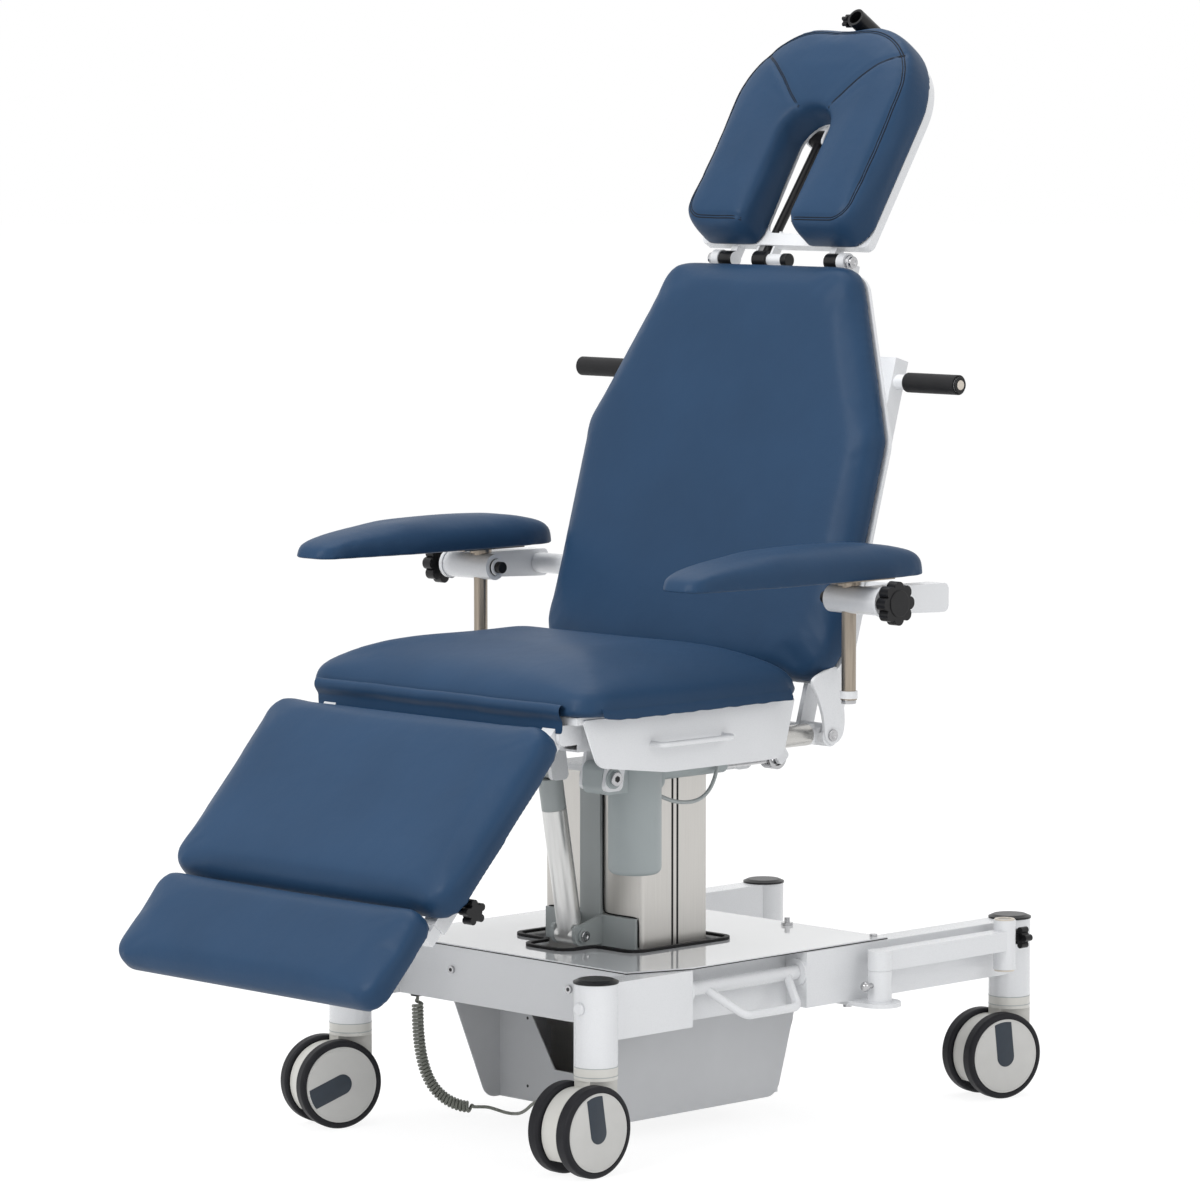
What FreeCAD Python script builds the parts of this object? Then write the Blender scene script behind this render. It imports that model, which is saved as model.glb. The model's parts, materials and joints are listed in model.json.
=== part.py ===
import FreeCAD, Part
import math
import os
from FreeCAD import Vector

# Procedure chair on four twin castors. Millimetres, +Z up, the sitter faces -Y.
# Stations along Y are measured from a datum and moved to the middle of the box at the end.

# Shared sizes
overrun = 30.0
touch_gap = 0.3
run_gap = 0.1
glide_gap = 0.3
least_round = 2.0
edge_round = 2.0
weld_depth = 2.0
chair_middle_y = -153.95

# Castors
castor_x = 248.0
castor_front_y = -380.0
castor_rear_y = 458.0
wheel_radius = 62.5
wheel_width = 21.0
wheel_spacing = 54.0
wheel_trail = 31.0
tyre_depth = 8.0
tyre_round = 5.0
face_recess = 1.5
axle_radius = 6.0
hood_half_width = 15.0
hood_radius = 56.0
hood_open_height = 24.0
neck_half_length = 26.0
collar_radius = 30.0
collar_bottom = 128.0
castor_pin_radius = 14.0
castor_pin_length = 55.0
swivel_angles = {"fl": -17.0, "fr": 0.0, "rl": -10.0, "rr": -14.0}

# Legs and their upright stems
stem_radius = 30.0
stem_bottom = 145.0
stem_bore = 27.0
rail_width = 40.0
rail_bottom = 180.0
rail_top = 258.0
rail_wall = 3.0
front_rail_end = -215.0
rear_rail_start = 10.0
cap_radius = 31.0
cap_rim = 2.5
cap_dome = 3.0
cap_dome_radius = 24.0
cap_plug = 10.0

# Chassis frame with a well for the column foot
member_width = 40.0
member_rear = 175.0
panel_face = -304.0
panel_thickness = 4.0
cross_depth = 40.0
well_half_width = 134.0
well_plate = 4.0
well_front = -180.0
well_rear = 92.0
well_floor = 34.0
well_floor_thickness = 6.0
flange_thickness = 6.0

# Cover plate, its cut-out and the rubber edging
plate_thickness = 3.0
plate_half_width = 262.0
plate_rear = 182.0
plate_chamfer = 34.0
plate_chamfer_length = 95.0
cutout_half_width = 118.0
cutout_front = -180.0
cutout_rear = 11.0
tongue_half_width = 40.0
tongue_front = -237.0
cutout_round = 18.0
edging_width = 7.0
edging_height = 4.0

# Shield tray under the chassis
tray_half_width = 138.0
tray_sheet = 2.0
tray_bottom = 30.0
tray_front_top = -285.0
tray_front_low = -222.0
tray_rear_top = 131.0
tray_rear_low = 86.0
tray_round = 26.0
tray_wall = -196.0
window_left_top = -72.0
window_left_low = -24.0
window_right = 100.0
window_top = 155.0
window_low = 81.0

# Control box behind the column
control_front = 62.0
control_rear = 88.0
control_low = 62.0
control_top = 170.0

# Screws and the threaded stud on the chassis
panel_screw_x = 118.5
panel_screw_z = 225.0
panel_screw_radius = 5.5
panel_screw_height = 3.5
stud_x = 87.5
stud_y = 159.0
stud_radius = 4.0
stud_height = 11.0
stud_nut_radius = 8.5
stud_nut_height = 4.0
corner_screw_x = 246.0
corner_screw_y = 170.0

# Central lock pedals
pedal_x = 250.0
pedal_z = 229.0
pedal_tube_radius = 10.0
pedal_ring_radius = 19.0
pedal_ring_depth = 4.0
pedal_rod_radius = 6.0
pedal_root_front = -178.0
pedal_root_rear = -12.0
pedal_tread_front = -146.0
pedal_tread_rear = -43.0
pedal_tread_x = 302.0
pedal_tread_z = 192.0
pedal_bend = 16.0

# Pole holder on the right rear leg
sleeve_x = 300.0
sleeve_y = 125.0
sleeve_radius = 17.0
sleeve_top = 224.0
holder_plate = 6.0
holder_inner_x = 240.0
holder_margin = 30.0
arm_pin_radius = 9.0
pole_arm_width = 26.0
pole_arm_height = 28.0
pole_socket_y = 388.0
pole_socket_radius = 16.0
pole_bore_radius = 9.5
pole_socket_low = 198.0
pole_socket_high = 266.0
bush_height = 4.0
bush_flange = 1.5
clamp_hole_radius = 4.0
plunger_z = 204.0
plunger_radius = 4.0
plunger_neck = 9.0
plunger_ball = 7.0
plunger_depth = 7.0
holder_bolt_radius = 6.0
holder_bolt_height = 5.0
holder_bolt_y = 108.0
holder_bolt_x = 254.0

# Star knobs
small_knob_radius = 16.0
small_knob_depth = 14.0
small_knob_lobes = 5
knob_stem_radius = 3.9
large_knob_radius = 30.0
large_knob_depth = 16.0
large_knob_lobes = 8
head_knob_radius = 10.0
head_knob_depth = 8.7
foot_knob_radius = 17.5
foot_knob_depth = 16.0
knob_hub_share = 0.55
knob_lobe_share = 0.62
knob_notch_share = 0.30

# Lifting column
column_half_width = 97.0
column_front = -144.0
column_rear = -13.0
column_wall = 5.0
column_round = 6.0
column_low = 130.0
column_high = 500.0
inner_wall = 6.0
inner_top = 420.0
groove_width = 4.0
groove_pitch = 10.0
groove_depth = 2.0

# Column head with the tilt lugs
head_plate = 8.0
tilt_y = 55.0
tilt_z = 514.0
lug_plate = 10.0
tilt_lug_x = 84.0
tilt_lug_radius = 17.0
tilt_pin_radius = 8.0
tilt_pin_spare = 3.0
tilt_web_front = -5.0

# Grey bracket on the column front, tilt actuator pivot
bracket_plate = 6.0
bracket_foot_half = 90.0
bracket_foot_low = 258.0
bracket_foot_high = 302.0
bracket_spine_half = 20.0
pivot_y = -188.0
pivot_z = 276.0
pivot_lug_x = 18.0
pivot_lug_plate = 7.0
pivot_lug_radius = 15.0
pivot_pin_radius = 6.0
pivot_head = 4.0
pivot_head_radius = 10.0

# Tilt actuator
tilt_top_y = -230.0
tilt_top_z = 515.0
actuator_radius = 17.5
actuator_bore = 10.0
actuator_length = 182.0
actuator_start = 22.0
actuator_rod_radius = 9.6
rod_insert = 120.0
clevis_half_width = 15.0
clevis_depth = 16.0
clevis_eye = 15.0
open_pivot_gap = 2.2

# Seat frame
seat_rail_gap = 24.0
seat_rail_width = 30.0
seat_rail_low = 570.0
seat_rail_high = 610.0
seat_rail_front = -400.0
seat_rail_rear = -20.0
seat_cross = 32.0
seat_tube_wall = 3.0
mid_cross_y = -258.0
board_front = -425.0
board_rear = -25.0
board_thickness = 10.0
back_stub_offset = 5.0
back_stub_radius = 15.0
back_stub_front = -110.0
back_stub_hanger = 26.0

# Back hinge shared by the seat frame and the back arms
hinge_y = 55.0
hinge_z = 559.0
hinge_eye_radius = 16.0
hinge_eye_half = 21.0
hinge_pin_radius = 7.0
hinge_plate = 8.0
hinge_plate_gap = 0.5
hinge_cap_radius = 8.7

# Leg hinge shared by the seat frame and the leg frame
knee_y = -425.0
knee_z = 595.0
knee_radius = 14.0
knee_pin_radius = 6.0
knee_lug = 6.0
knee_gap = 0.4
knee_round = 8.7

# Seat covers
side_panel_inset = 23.0
side_sheet = 3.0
side_top = 616.0
side_low = 534.0
side_front_top = -417.0
side_front_low = -389.0
side_rear_top = -9.0
side_rear_low = -32.0
side_nose_z = 550.0
side_nose_y = -261.0
side_round = 24.0
handle_front = -288.0
handle_rear = -151.0
handle_z = 575.0
handle_reach = 22.0
handle_radius = 4.0
handle_bend = 9.0

# Seat pad and the rolled strip in front of it
seat_half_width = 285.0
seat_front = -436.0
seat_rear = -15.0
seat_edge = 38.0
seat_crown = 34.0
seat_corner = 46.0
seat_draw = 23.0
strip_half_width = 246.0
strip_depth = 12.0
strip_low = 627.0
strip_height = 19.0
strip_round = 6.8

# Back actuator under the seat
motor_x = 130.0
motor_y = -190.0
motor_radius = 37.0
motor_low = 375.0
motor_top = 500.0
motor_round = 10.0
gear_half_width = 19.0
gear_front = -272.0
gear_rear = -150.0
gear_low = 492.0
gear_high = 537.0
gear_round = 12.0
spindle_z = 515.0
spindle_tube_radius = 14.0
spindle_tube_end = -20.0
spindle_radius = 9.0
spindle_insert = 60.0
spindle_bore_depth = 132.0
bolt_y = -257.0
bolt_radius = 7.0
bolt_lug = 6.0
bolt_lug_radius = 18.0
bolt_washer_radius = 14.0
bolt_washer = 3.0
bolt_head_radius = 9.0
bolt_head = 6.0
junction_size = 18.0

# Backrest frame of reference: slope of the front face and a point on it
back_slope = 73.7
back_y = 107.0
back_z = 970.0
back_pad_depth = 48.0
back_half_width = 287.0
back_low = -342.0
back_shoulder = 5.0
back_top_half = 178.0
back_top = 246.0
back_low_round = 62.0
back_shoulder_round = 60.0
back_top_round = 42.0
back_crown = 6.0
back_draw = 12.0
shell_thickness = 6.0
back_rail_depth = 26.0
back_rail_top = 130.0
back_cross = 26.0
back_cross_high = 30.0
back_arm_top = -150.0
torsion_radius = 13.0
lever_plate = 6.0
lever_half_width = 11.0
lever_length = 50.0
lever_lean = 36.0
lever_pin_radius = 5.0
lever_open_gap = 8.0
lever_eye_radius = 18.0
lever_eye_half = 10.0
lever_gap = 2.0
push_bar_station = 98.0
push_bar_depth = 68.0
push_bar_radius = 11.0
push_bar_spare = 3.0
push_grip_radius = 14.0
push_grip_gap = 16.5
push_grip_length = 89.0
arm_axle_station = -202.0
arm_axle_depth = 70.0
arm_axle_radius = 15.0
arm_axle_end = 384.0
arm_pivot_radius = 10.0
head_ear_x = 118.0
head_ear_width = 14.0
head_ear_radius = 13.0

# Headrest frame of reference
head_slope = 57.4
head_y = 240.0
head_z = 1350.0
head_pad_depth = 62.0
head_half_width = 168.0
head_low = -97.0
head_top = 233.0
head_arch = 128.0
head_lobe_round = 36.0
slot_half_low = 40.0
slot_half_high = 45.0
slot_top = 100.0
slot_round = 44.0
slot_lip = 22.0
head_crown = 4.0
head_draw = 8.0
head_hinge_y = 235.0
head_hinge_z = 1209.0
head_pin_radius = 6.0
head_shaft_radius = 9.0
head_plate_thickness = 4.0
head_plate_margin = 2.0
head_plate_drop = 7.0
head_plate_corner = 12.0
head_plate_bar = 27.0
head_slot_margin = 5.0
head_flange = 14.0
head_bush_radius = 11.0
head_arm_x = 92.0
head_arm_width = 12.0
head_arm_reach = 56.0
strut_radius = 7.0
strut_eye_radius = 13.0
strut_x = -36.0
strut_shaft_end = 5.0
strut_top_s = 88.0
strut_top_n = -80.0
holder_tube_radius = 14.0
holder_tube_bore = 10.2
holder_tube_s = 252.0
holder_tube_front = -8.0
holder_tube_rear = -92.0
holder_tube_x = 5.0

# Leg rest and foot rest frame of reference
leg_slope = 47.5
leg_y = -612.0
leg_z = 500.0
leg_pad_depth = 50.0
leg_inset = 5.0
leg_low = -131.0
leg_top = 171.0
leg_round = 36.0
leg_crown = 6.0
leg_draw = 12.0
leg_board = 6.0
leg_board_margin = 25.0
leg_rail_offset = 15.0
leg_rail_size = 24.0
leg_rail_wall = 3.0
leg_cross = 24.0
leg_cross_low = -60.0
leg_cross_high = 90.0
foot_bar_gap = 0.2
foot_bar_top = 20.0
foot_proud = 6.0
foot_pad_depth = 42.0
foot_inset = 21.0
foot_low = -291.0
foot_top = -139.0
foot_round = 30.0
foot_bar_root = 15.0
foot_crown = 5.0
foot_draw = 10.0
foot_plate = 6.0
foot_plate_margin = 22.0
foot_plate_top_margin = 3.0
foot_knob_station = -97.0
foot_knob_neck = 30.0

# Armrests
post_x = 368.6
post_y = -14.5
post_radius = 10.0
post_low = 634.0
post_cap_radius = 11.5
post_cap = 12.0
clamp_z = 760.0
clamp_radius = 19.0
clamp_inner = 337.0
clamp_outer = 430.0
clamp_plug = 6.0
clamp_plug_radius = 12.0
clamp_flange = 6.0
clamp_flange_radius = 21.0
arm_inner = 384.5
arm_width = 30.0
arm_height = 40.0
post_bush_radius = 16.0
arm_pad_low = 790.0
arm_plate = 4.0
arm_plate_half_width = 30.0
arm_plate_half_length = 60.0
arm_pad_half_width = 57.0
arm_pad_front = 335.0
arm_pad_rear = 115.0
arm_pad_edge = 27.0
arm_pad_crown = 22.0
arm_pad_draw = 5.2
arm_nose_half_width = 38.0
arm_tail_half_width = 47.0
arm_nose_round = 34.0
arm_tail_round = 40.0
arm_side_round = 190.0
arm_belly_front = 170.0
arm_belly_rear = 30.0
arm_nose_depth = 15.0
arm_tail_depth = 24.0
arm_end_round = 10.0
arm_back_round = 160.0
arm_skin = 2.0
arm_taper = 2.0
arm_knob_gap = 10.0

# Curly cord and its straight tail
wire_radius = 2.1
coil_radius = 7.75
curl_pitch = 5.4
curl_draw = 8.0
curl_ramp_turns = 1.5
curl_steps = 2
gap_samples = 6
gland_radius = 10.0
gland_height = 8.0
coil_route = [
    (-226.0, -272.0, 172.0), (-226.0, -272.0, 148.0), (-226.0, -271.0, 122.0), (-224.5, -269.0, 96.0),
    (-221.0, -266.0, 72.0), (-214.5, -261.0, 50.0), (-204.0, -253.5, 32.0), (-190.0, -243.0, 19.5),
    (-174.0, -231.0, 13.0), (-158.0, -219.0, 13.5)]
tail_route = [
    (-158.0, -219.0, 13.5), (-146.0, -210.0, 13.875), (-132.0, -204.5, 10.5), (-116.0, -203.0, 8.5),
    (-99.0, -205.0, 9.5), (-81.0, -209.0, 13.0), (-63.0, -214.5, 21.0), (-46.0, -221.0, 31.0),
    (-29.0, -227.0, 39.5), (-12.0, -230.5, 45.0), (3.0, -228.5, 47.0), (13.5, -220.5, 46.5),
    (16.5, -211.0, 46.0), (16.5, -204.0, 46.0)]

# Shares: room that a rounded corner takes of its side, and a pad's heights and how far it is drawn in
corner_room_share = 0.47
pad_height_shares = (0.0, 0.22, 0.55, 0.82, 1.0)
pad_inset_shares = (0.30, 0.06, 0.0, 0.22, 0.72)
crown_height_shares = (0.0, 0.55, 0.88, 1.0)
crown_inset_shares = (1.0, 2.3, 3.8, 5.4)

# Shares of a cord: an arc takes 0.45 of the shorter run beside its point; the side its curls start on
cord_arc_share = 0.45
curl_side_shares = (0.6, -0.8, 0.0)
small_share = 0.001


# Basic shapes
def box(x0, x1, y0, y1, z0, z1):
    return Part.makeBox(x1 - x0, y1 - y0, z1 - z0, Vector(x0, y0, z0))


def rod(start, end, radius):
    a = Vector(*start)
    b = Vector(*end)
    return Part.makeCylinder(radius, (b - a).Length, a, b - a)


def pipe(start, end, radius, bore):
    a = Vector(*start)
    b = Vector(*end)
    reach = (b - a).normalize() * overrun
    hole = rod(a - reach, b + reach, bore)
    return rod(start, end, radius).cut(hole)


def fuse(shapes):
    result = shapes[0]
    if len(shapes) > 1:
        result = shapes[0].multiFuse(shapes[1:])
    return result.removeSplitter()


def mirrored(shape):
    return shape.mirror(Vector(0, 0, 0), Vector(1, 0, 0))


def both_sides(shape):
    return Part.makeCompound([shape, mirrored(shape)])


def bar(x0, x1, y0, y1, z0, z1, wall, axis):
    inner = {"x": (x0 - overrun, x1 + overrun, y0 + wall, y1 - wall, z0 + wall, z1 - wall),
             "y": (x0 + wall, x1 - wall, y0 - overrun, y1 + overrun, z0 + wall, z1 - wall)}
    return box(x0, x1, y0, y1, z0, z1).cut(box(*inner[axis]))


# Rounded outlines in a plane, drawn in by an inset
def inset_points(points, inset):
    count = len(points)
    area = sum(points[i][0] * points[(i + 1) % count][1] - points[(i + 1) % count][0] * points[i][1]
               for i in range(count))
    side = 1 if area > 0 else -1
    result = []
    for i in range(count):
        before = points[i - 1]
        here = points[i]
        after = points[(i + 1) % count]
        u = Vector(here[0] - before[0], here[1] - before[1], 0).normalize()
        v = Vector(after[0] - here[0], after[1] - here[1], 0).normalize()
        n_in = Vector(-u.y, u.x, 0) * side
        n_out = Vector(-v.y, v.x, 0) * side
        middle = n_in + n_out
        shift = middle * (inset * 2 / middle.dot(middle))
        turn = (u.x * v.y - u.y * v.x) * side
        result.append((here[0] + shift.x, here[1] + shift.y, turn))
    return result


def rounded_wire(points, radii, inset=0.0, height=0.0):
    moved = inset_points(points, inset)
    count = len(moved)
    edges = []
    ends = []
    for i in range(count):
        here = Vector(moved[i][0], moved[i][1], height)
        before = Vector(moved[i - 1][0], moved[i - 1][1], height)
        after = Vector(moved[(i + 1) % count][0], moved[(i + 1) % count][1], height)
        u = (before - here).normalize()
        v = (after - here).normalize()
        radius = radii[i] - inset if moved[i][2] > 0 else radii[i] + inset
        radius = max(radius, least_round)
        half = math.acos(max(-1, min(1, u.dot(v)))) / 2
        room = min((before - here).Length, (after - here).Length) * corner_room_share
        reach = min(radius / math.tan(half), room)
        radius = reach * math.tan(half)
        centre = here + (u + v).normalize() * (radius / math.sin(half))
        middle = centre + (here - centre).normalize() * radius
        ends.append((here + u * reach, middle, here + v * reach))
    for i in range(count):
        start, middle, end = ends[i]
        edges.append(Part.Arc(start, middle, end).toShape())
        edges.append(Part.LineSegment(end, ends[(i + 1) % count][0]).toShape())
    return Part.Wire(edges)


def slab(points, radii, low, high):
    face = Part.Face(rounded_wire(points, radii, 0.0, low))
    return face.extrude(Vector(0, 0, high - low))


# A profile drawn in the YZ plane and extruded along X
def side_plate(points, radii, x0, x1):
    flat = slab(points, radii, 0, x1 - x0)
    flat.rotate(Vector(0, 0, 0), Vector(1, 0, 0), 90)
    flat.rotate(Vector(0, 0, 0), Vector(0, 0, 1), 90)
    flat.translate(Vector(x0, 0, 0))
    return flat


# A crowned pad: drawn in below, fullest above the middle, then a shallow crown
def pad(points, radii, edge, crown, draw):
    wires = []
    for share, inset_share in zip(pad_height_shares, pad_inset_shares):
        wires.append(rounded_wire(points, radii, draw * inset_share, edge * share))
    for share, inset_share in zip(crown_height_shares[1:], crown_inset_shares[1:]):
        wires.append(rounded_wire(points, radii, draw * inset_share, edge + crown * share))
    return Part.makeLoft(wires, True, True)


# A slope carries pieces built flat: X across, Y up the slope, Z out of the face
def on_slope(shape, angle, y, z):
    moved = shape.copy()
    moved.rotate(Vector(0, 0, 0), Vector(1, 0, 0), angle)
    moved.translate(Vector(0, y, z))
    return moved


def slope_point(y, z, angle, origin_y, origin_z):
    c = math.cos(math.radians(angle))
    s = math.sin(math.radians(angle))
    dy = y - origin_y
    dz = z - origin_z
    return dy * c + dz * s, dz * c - dy * s


# An arc that leaves one point and reaches another along lines that meet at a corner
def tangent_arc(start, corner, end):
    u = (start - corner).normalize()
    v = (end - corner).normalize()
    half = math.acos(max(-1, min(1, u.dot(v)))) / 2
    radius = (start - corner).Length * math.tan(half)
    centre = corner + (u + v).normalize() * (radius / math.sin(half))
    middle = centre + (corner - centre).normalize() * radius
    return Part.Arc(start, middle, end).toShape()


# A bent rod of straight runs joined by tangent arcs
def rod_path(points, radii):
    stations = [Vector(*p) for p in points]
    edges = []
    start = stations[0]
    for i in range(1, len(stations) - 1):
        here = stations[i]
        u = (stations[i - 1] - here).normalize()
        v = (stations[i + 1] - here).normalize()
        half = math.acos(max(-1, min(1, u.dot(v)))) / 2
        reach = radii[i - 1] / math.tan(half)
        edges.append(Part.LineSegment(start, here + u * reach).toShape())
        edges.append(tangent_arc(here + u * reach, here, here + v * reach))
        start = here + v * reach
    edges.append(Part.LineSegment(start, stations[-1]).toShape())
    return Part.Wire(edges)


def bent_rod(points, radii, radius):
    path = rod_path(points, radii)
    along = Vector(*points[1]) - Vector(*points[0])
    ring = Part.Wire([Part.makeCircle(radius, Vector(*points[0]), along)])
    return path.makePipeShell([ring], True, False)


def cord_radii(points):
    stations = [Vector(*p) for p in points]
    radii = []
    for i in range(1, len(stations) - 1):
        a = stations[i] - stations[i - 1]
        b = stations[i + 1] - stations[i]
        turn = a.getAngle(b)
        radii.append(cord_arc_share * min(a.Length, b.Length) / math.tan(turn / 2))
    return radii


# Place and direction at a distance along a path
def on_path(path, distance):
    rest = min(max(distance, 0), path.Length)
    for edge in path.OrderedEdges:
        if rest <= edge.Length:
            break
        rest -= edge.Length
    at = edge.getParameterByLength(min(rest, edge.Length))
    return edge.valueAt(at), edge.tangentAt(at)


def eased(share):
    share = min(max(share, 0), 1)
    return share * share * (3 - 2 * share)


# Two tangent arcs between two places with given directions
def biarc(start, start_way, end, end_way):
    chord = end - start
    lean = chord.dot(start_way + end_way)
    spread = 2 * (1 - start_way.dot(end_way))
    arm = (math.sqrt(lean * lean + spread * chord.dot(chord)) - lean) / spread
    first = start + start_way * arm
    last = end - end_way * arm
    joint = (first + last) / 2
    return [tangent_arc(start, first, joint), tangent_arc(joint, last, end)]


# Curls of a cord round a path: straight at both ends, opening out over the first and last turns
def curl_edges(path):
    lead = 2 * wire_radius
    run = path.Length - 2 * lead - 2 * curl_draw
    turns = int(run / curl_pitch)
    across = Vector(*curl_side_shares)

    def curl_point(turn):
        opened = eased(turn / curl_ramp_turns)
        closed = eased((turns - turn) / curl_ramp_turns)
        place, way = on_path(path, lead + run * turn / turns + curl_draw * (1 + opened - closed))
        side = (across - way * across.dot(way)).normalize()
        reach = (coil_radius - wire_radius) * opened * closed
        angle = 2 * math.pi * turn
        return place + side * (reach * math.cos(angle)) + way.cross(side) * (reach * math.sin(angle))

    start, start_way = on_path(path, 0)
    end, end_way = on_path(path, path.Length)
    places = [curl_point(i / curl_steps) for i in range(turns * curl_steps + 1)]
    ways = [start_way]
    for i in range(1, turns * curl_steps):
        turn = i / curl_steps
        ways.append((curl_point(turn + small_share) - curl_point(turn - small_share)).normalize())
    ways.append(end_way)
    edges = [Part.LineSegment(start, places[0]).toShape()]
    for i in range(turns * curl_steps):
        edges += biarc(places[i], ways[i], places[i + 1], ways[i + 1])
    edges.append(Part.LineSegment(places[-1], end).toShape())
    return edges


# Least gap between stretches of a tube that lie more than half a curl apart
def self_gap(edges, radius):
    samples = []
    gone = 0
    for edge in edges:
        for k in range(gap_samples):
            along = edge.Length * k / gap_samples
            samples.append((gone + along, edge.valueAt(edge.getParameterByLength(along))))
        gone += edge.Length
    apart = math.pi * coil_radius
    least = min((a[1] - b[1]).Length for i,
                a in enumerate(samples) for b in samples[:i] if a[0] - b[0] > apart)
    return least - 2 * radius


# A star knob on a stem, made along +Z from the seat of its stem
def star_knob(radius, depth, lobes, neck, insert):
    lobe = radius * knob_notch_share
    pieces = [Part.makeCylinder(radius * knob_lobe_share, depth, Vector(0, 0, neck))]
    for i in range(lobes):
        angle = 2 * math.pi * i / lobes
        reach = radius - lobe
        spot = Vector(reach * math.cos(angle), reach * math.sin(angle), neck)
        pieces.append(Part.makeCylinder(lobe, depth, spot))
    pieces.append(Part.makeCylinder(radius * knob_hub_share / 2, neck, Vector(0, 0, 0)))
    pieces.append(Part.makeCylinder(knob_stem_radius, insert, Vector(0, 0, -insert)))
    return fuse(pieces)


def turned(shape, axis, place):
    moved = shape.copy()
    if axis == "x":
        moved.rotate(Vector(0, 0, 0), Vector(0, 1, 0), 90)
    if axis == "y":
        moved.rotate(Vector(0, 0, 0), Vector(1, 0, 0), -90)
    moved.translate(Vector(*place))
    return moved


nodes = {}


# Legs: a rail welded to an upright stem that holds a castor pin
def leg(stem_y, rail_front, rail_rear, ring_at, ring_way):
    x0 = castor_x - rail_width / 2
    x1 = castor_x + rail_width / 2
    rail = box(x0, x1, rail_front, rail_rear, rail_bottom, rail_top)
    low = (castor_x, stem_y, stem_bottom)
    high = (castor_x, stem_y, rail_top)
    stem = rod(low, high, stem_radius)
    ring = rod((pedal_x, ring_at, pedal_z), (pedal_x, ring_at + ring_way * pedal_ring_depth, pedal_z),
               pedal_ring_radius)
    body = fuse([rail, stem, ring])
    inner = [box(x0 + rail_wall, x1 - rail_wall, rail_front + stem_radius, rail_rear - rail_wall,
                 rail_bottom + rail_wall, rail_top - rail_wall)]
    if ring_way < 0:
        inner = [box(x0 + rail_wall, x1 - rail_wall, rail_front + rail_wall, rail_rear - stem_radius,
                     rail_bottom + rail_wall, rail_top - rail_wall)]
    bore_end = stem_bottom + castor_pin_length + touch_gap
    inner.append(rod((castor_x, stem_y, stem_bottom - overrun), (castor_x, stem_y, bore_end),
                     castor_pin_radius + run_gap))
    inner.append(rod((castor_x, stem_y, rail_top - cap_plug - touch_gap),
                     (castor_x, stem_y, rail_top + overrun), stem_bore))
    inner.append(rod((pedal_x, ring_at, pedal_z), (pedal_x, ring_at + ring_way * overrun, pedal_z),
                     pedal_tube_radius + run_gap))
    for hollow in inner:
        body = body.cut(hollow)
    return body


nodes["front_legs"] = both_sides(leg(castor_front_y, castor_front_y, front_rail_end, front_rail_end, 1))
nodes["rear_legs"] = both_sides(leg(castor_rear_y, rear_rail_start, castor_rear_y, rear_rail_start, -1))


# Domed caps pushed into the stem tops
def stem_cap(stem_y):
    rim_top = rail_top + cap_rim
    plug = rod((castor_x, stem_y, rail_top - cap_plug), (castor_x, stem_y, rail_top), stem_bore - run_gap)
    rim = rod((castor_x, stem_y, rail_top), (castor_x, stem_y, rim_top), cap_radius)
    dome = Part.makeCone(cap_radius, cap_dome_radius, cap_dome, Vector(castor_x, stem_y, rim_top))
    return fuse([plug, rim, dome])


front_cap = stem_cap(castor_front_y)
rear_cap = stem_cap(castor_rear_y)
nodes["stem_caps"] = Part.makeCompound([front_cap, mirrored(front_cap), rear_cap, mirrored(rear_cap)])


# Castors: a hood on a swivel pin, and a pair of wheels on one axle
def castor_hood():
    axle_z = wheel_radius
    half = hood_half_width
    disc = rod((-half, -wheel_trail, axle_z), (half, -wheel_trail, axle_z), hood_radius)
    neck = box(-half, half, -neck_half_length, neck_half_length, axle_z, collar_bottom)
    collar = rod((0, 0, collar_bottom), (0, 0, stem_bottom - touch_gap), collar_radius)
    pin = rod((0, 0, collar_bottom), (0, 0, stem_bottom + castor_pin_length), castor_pin_radius)
    body = fuse([disc, neck, collar, pin])
    body = body.cut(box(-overrun, overrun, -wheel_trail - wheel_radius, hood_radius, 0, hood_open_height))
    return body.cut(rod((-overrun, -wheel_trail, axle_z), (overrun, -wheel_trail, axle_z),
                        axle_radius + run_gap))


def castor_wheel(side):
    inner = side * (wheel_spacing - wheel_width) / 2
    outer = side * (wheel_spacing + wheel_width) / 2
    low = min(inner, outer)
    disc = rod((low, -wheel_trail, wheel_radius), (low + wheel_width, -wheel_trail, wheel_radius),
               wheel_radius)
    rims = [e for e in disc.Edges if e.Closed and len(e.Vertexes) == 1]
    disc = disc.makeFillet(tyre_round, rims)
    recess = rod((outer - side * face_recess, -wheel_trail, wheel_radius),
                 (outer + side * overrun, -wheel_trail, wheel_radius), wheel_radius - tyre_depth)
    return disc.cut(recess)


def castor_wheels():
    half = wheel_spacing / 2
    axle = rod((-half, -wheel_trail, wheel_radius), (half, -wheel_trail, wheel_radius), axle_radius)
    return fuse([castor_wheel(1), castor_wheel(-1), axle])


castor_places = {"fl": (-castor_x, castor_front_y), "fr": (castor_x, castor_front_y),
                 "rl": (-castor_x, castor_rear_y), "rr": (castor_x, castor_rear_y)}
for corner, (x, y) in castor_places.items():
    for node, shape in (("castor_hood_", castor_hood()), ("castor_wheels_", castor_wheels())):
        shape.rotate(Vector(0, 0, 0), Vector(0, 0, 1), swivel_angles[corner])
        shape.translate(Vector(x, y, 0))
        nodes[node + corner] = shape

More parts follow.
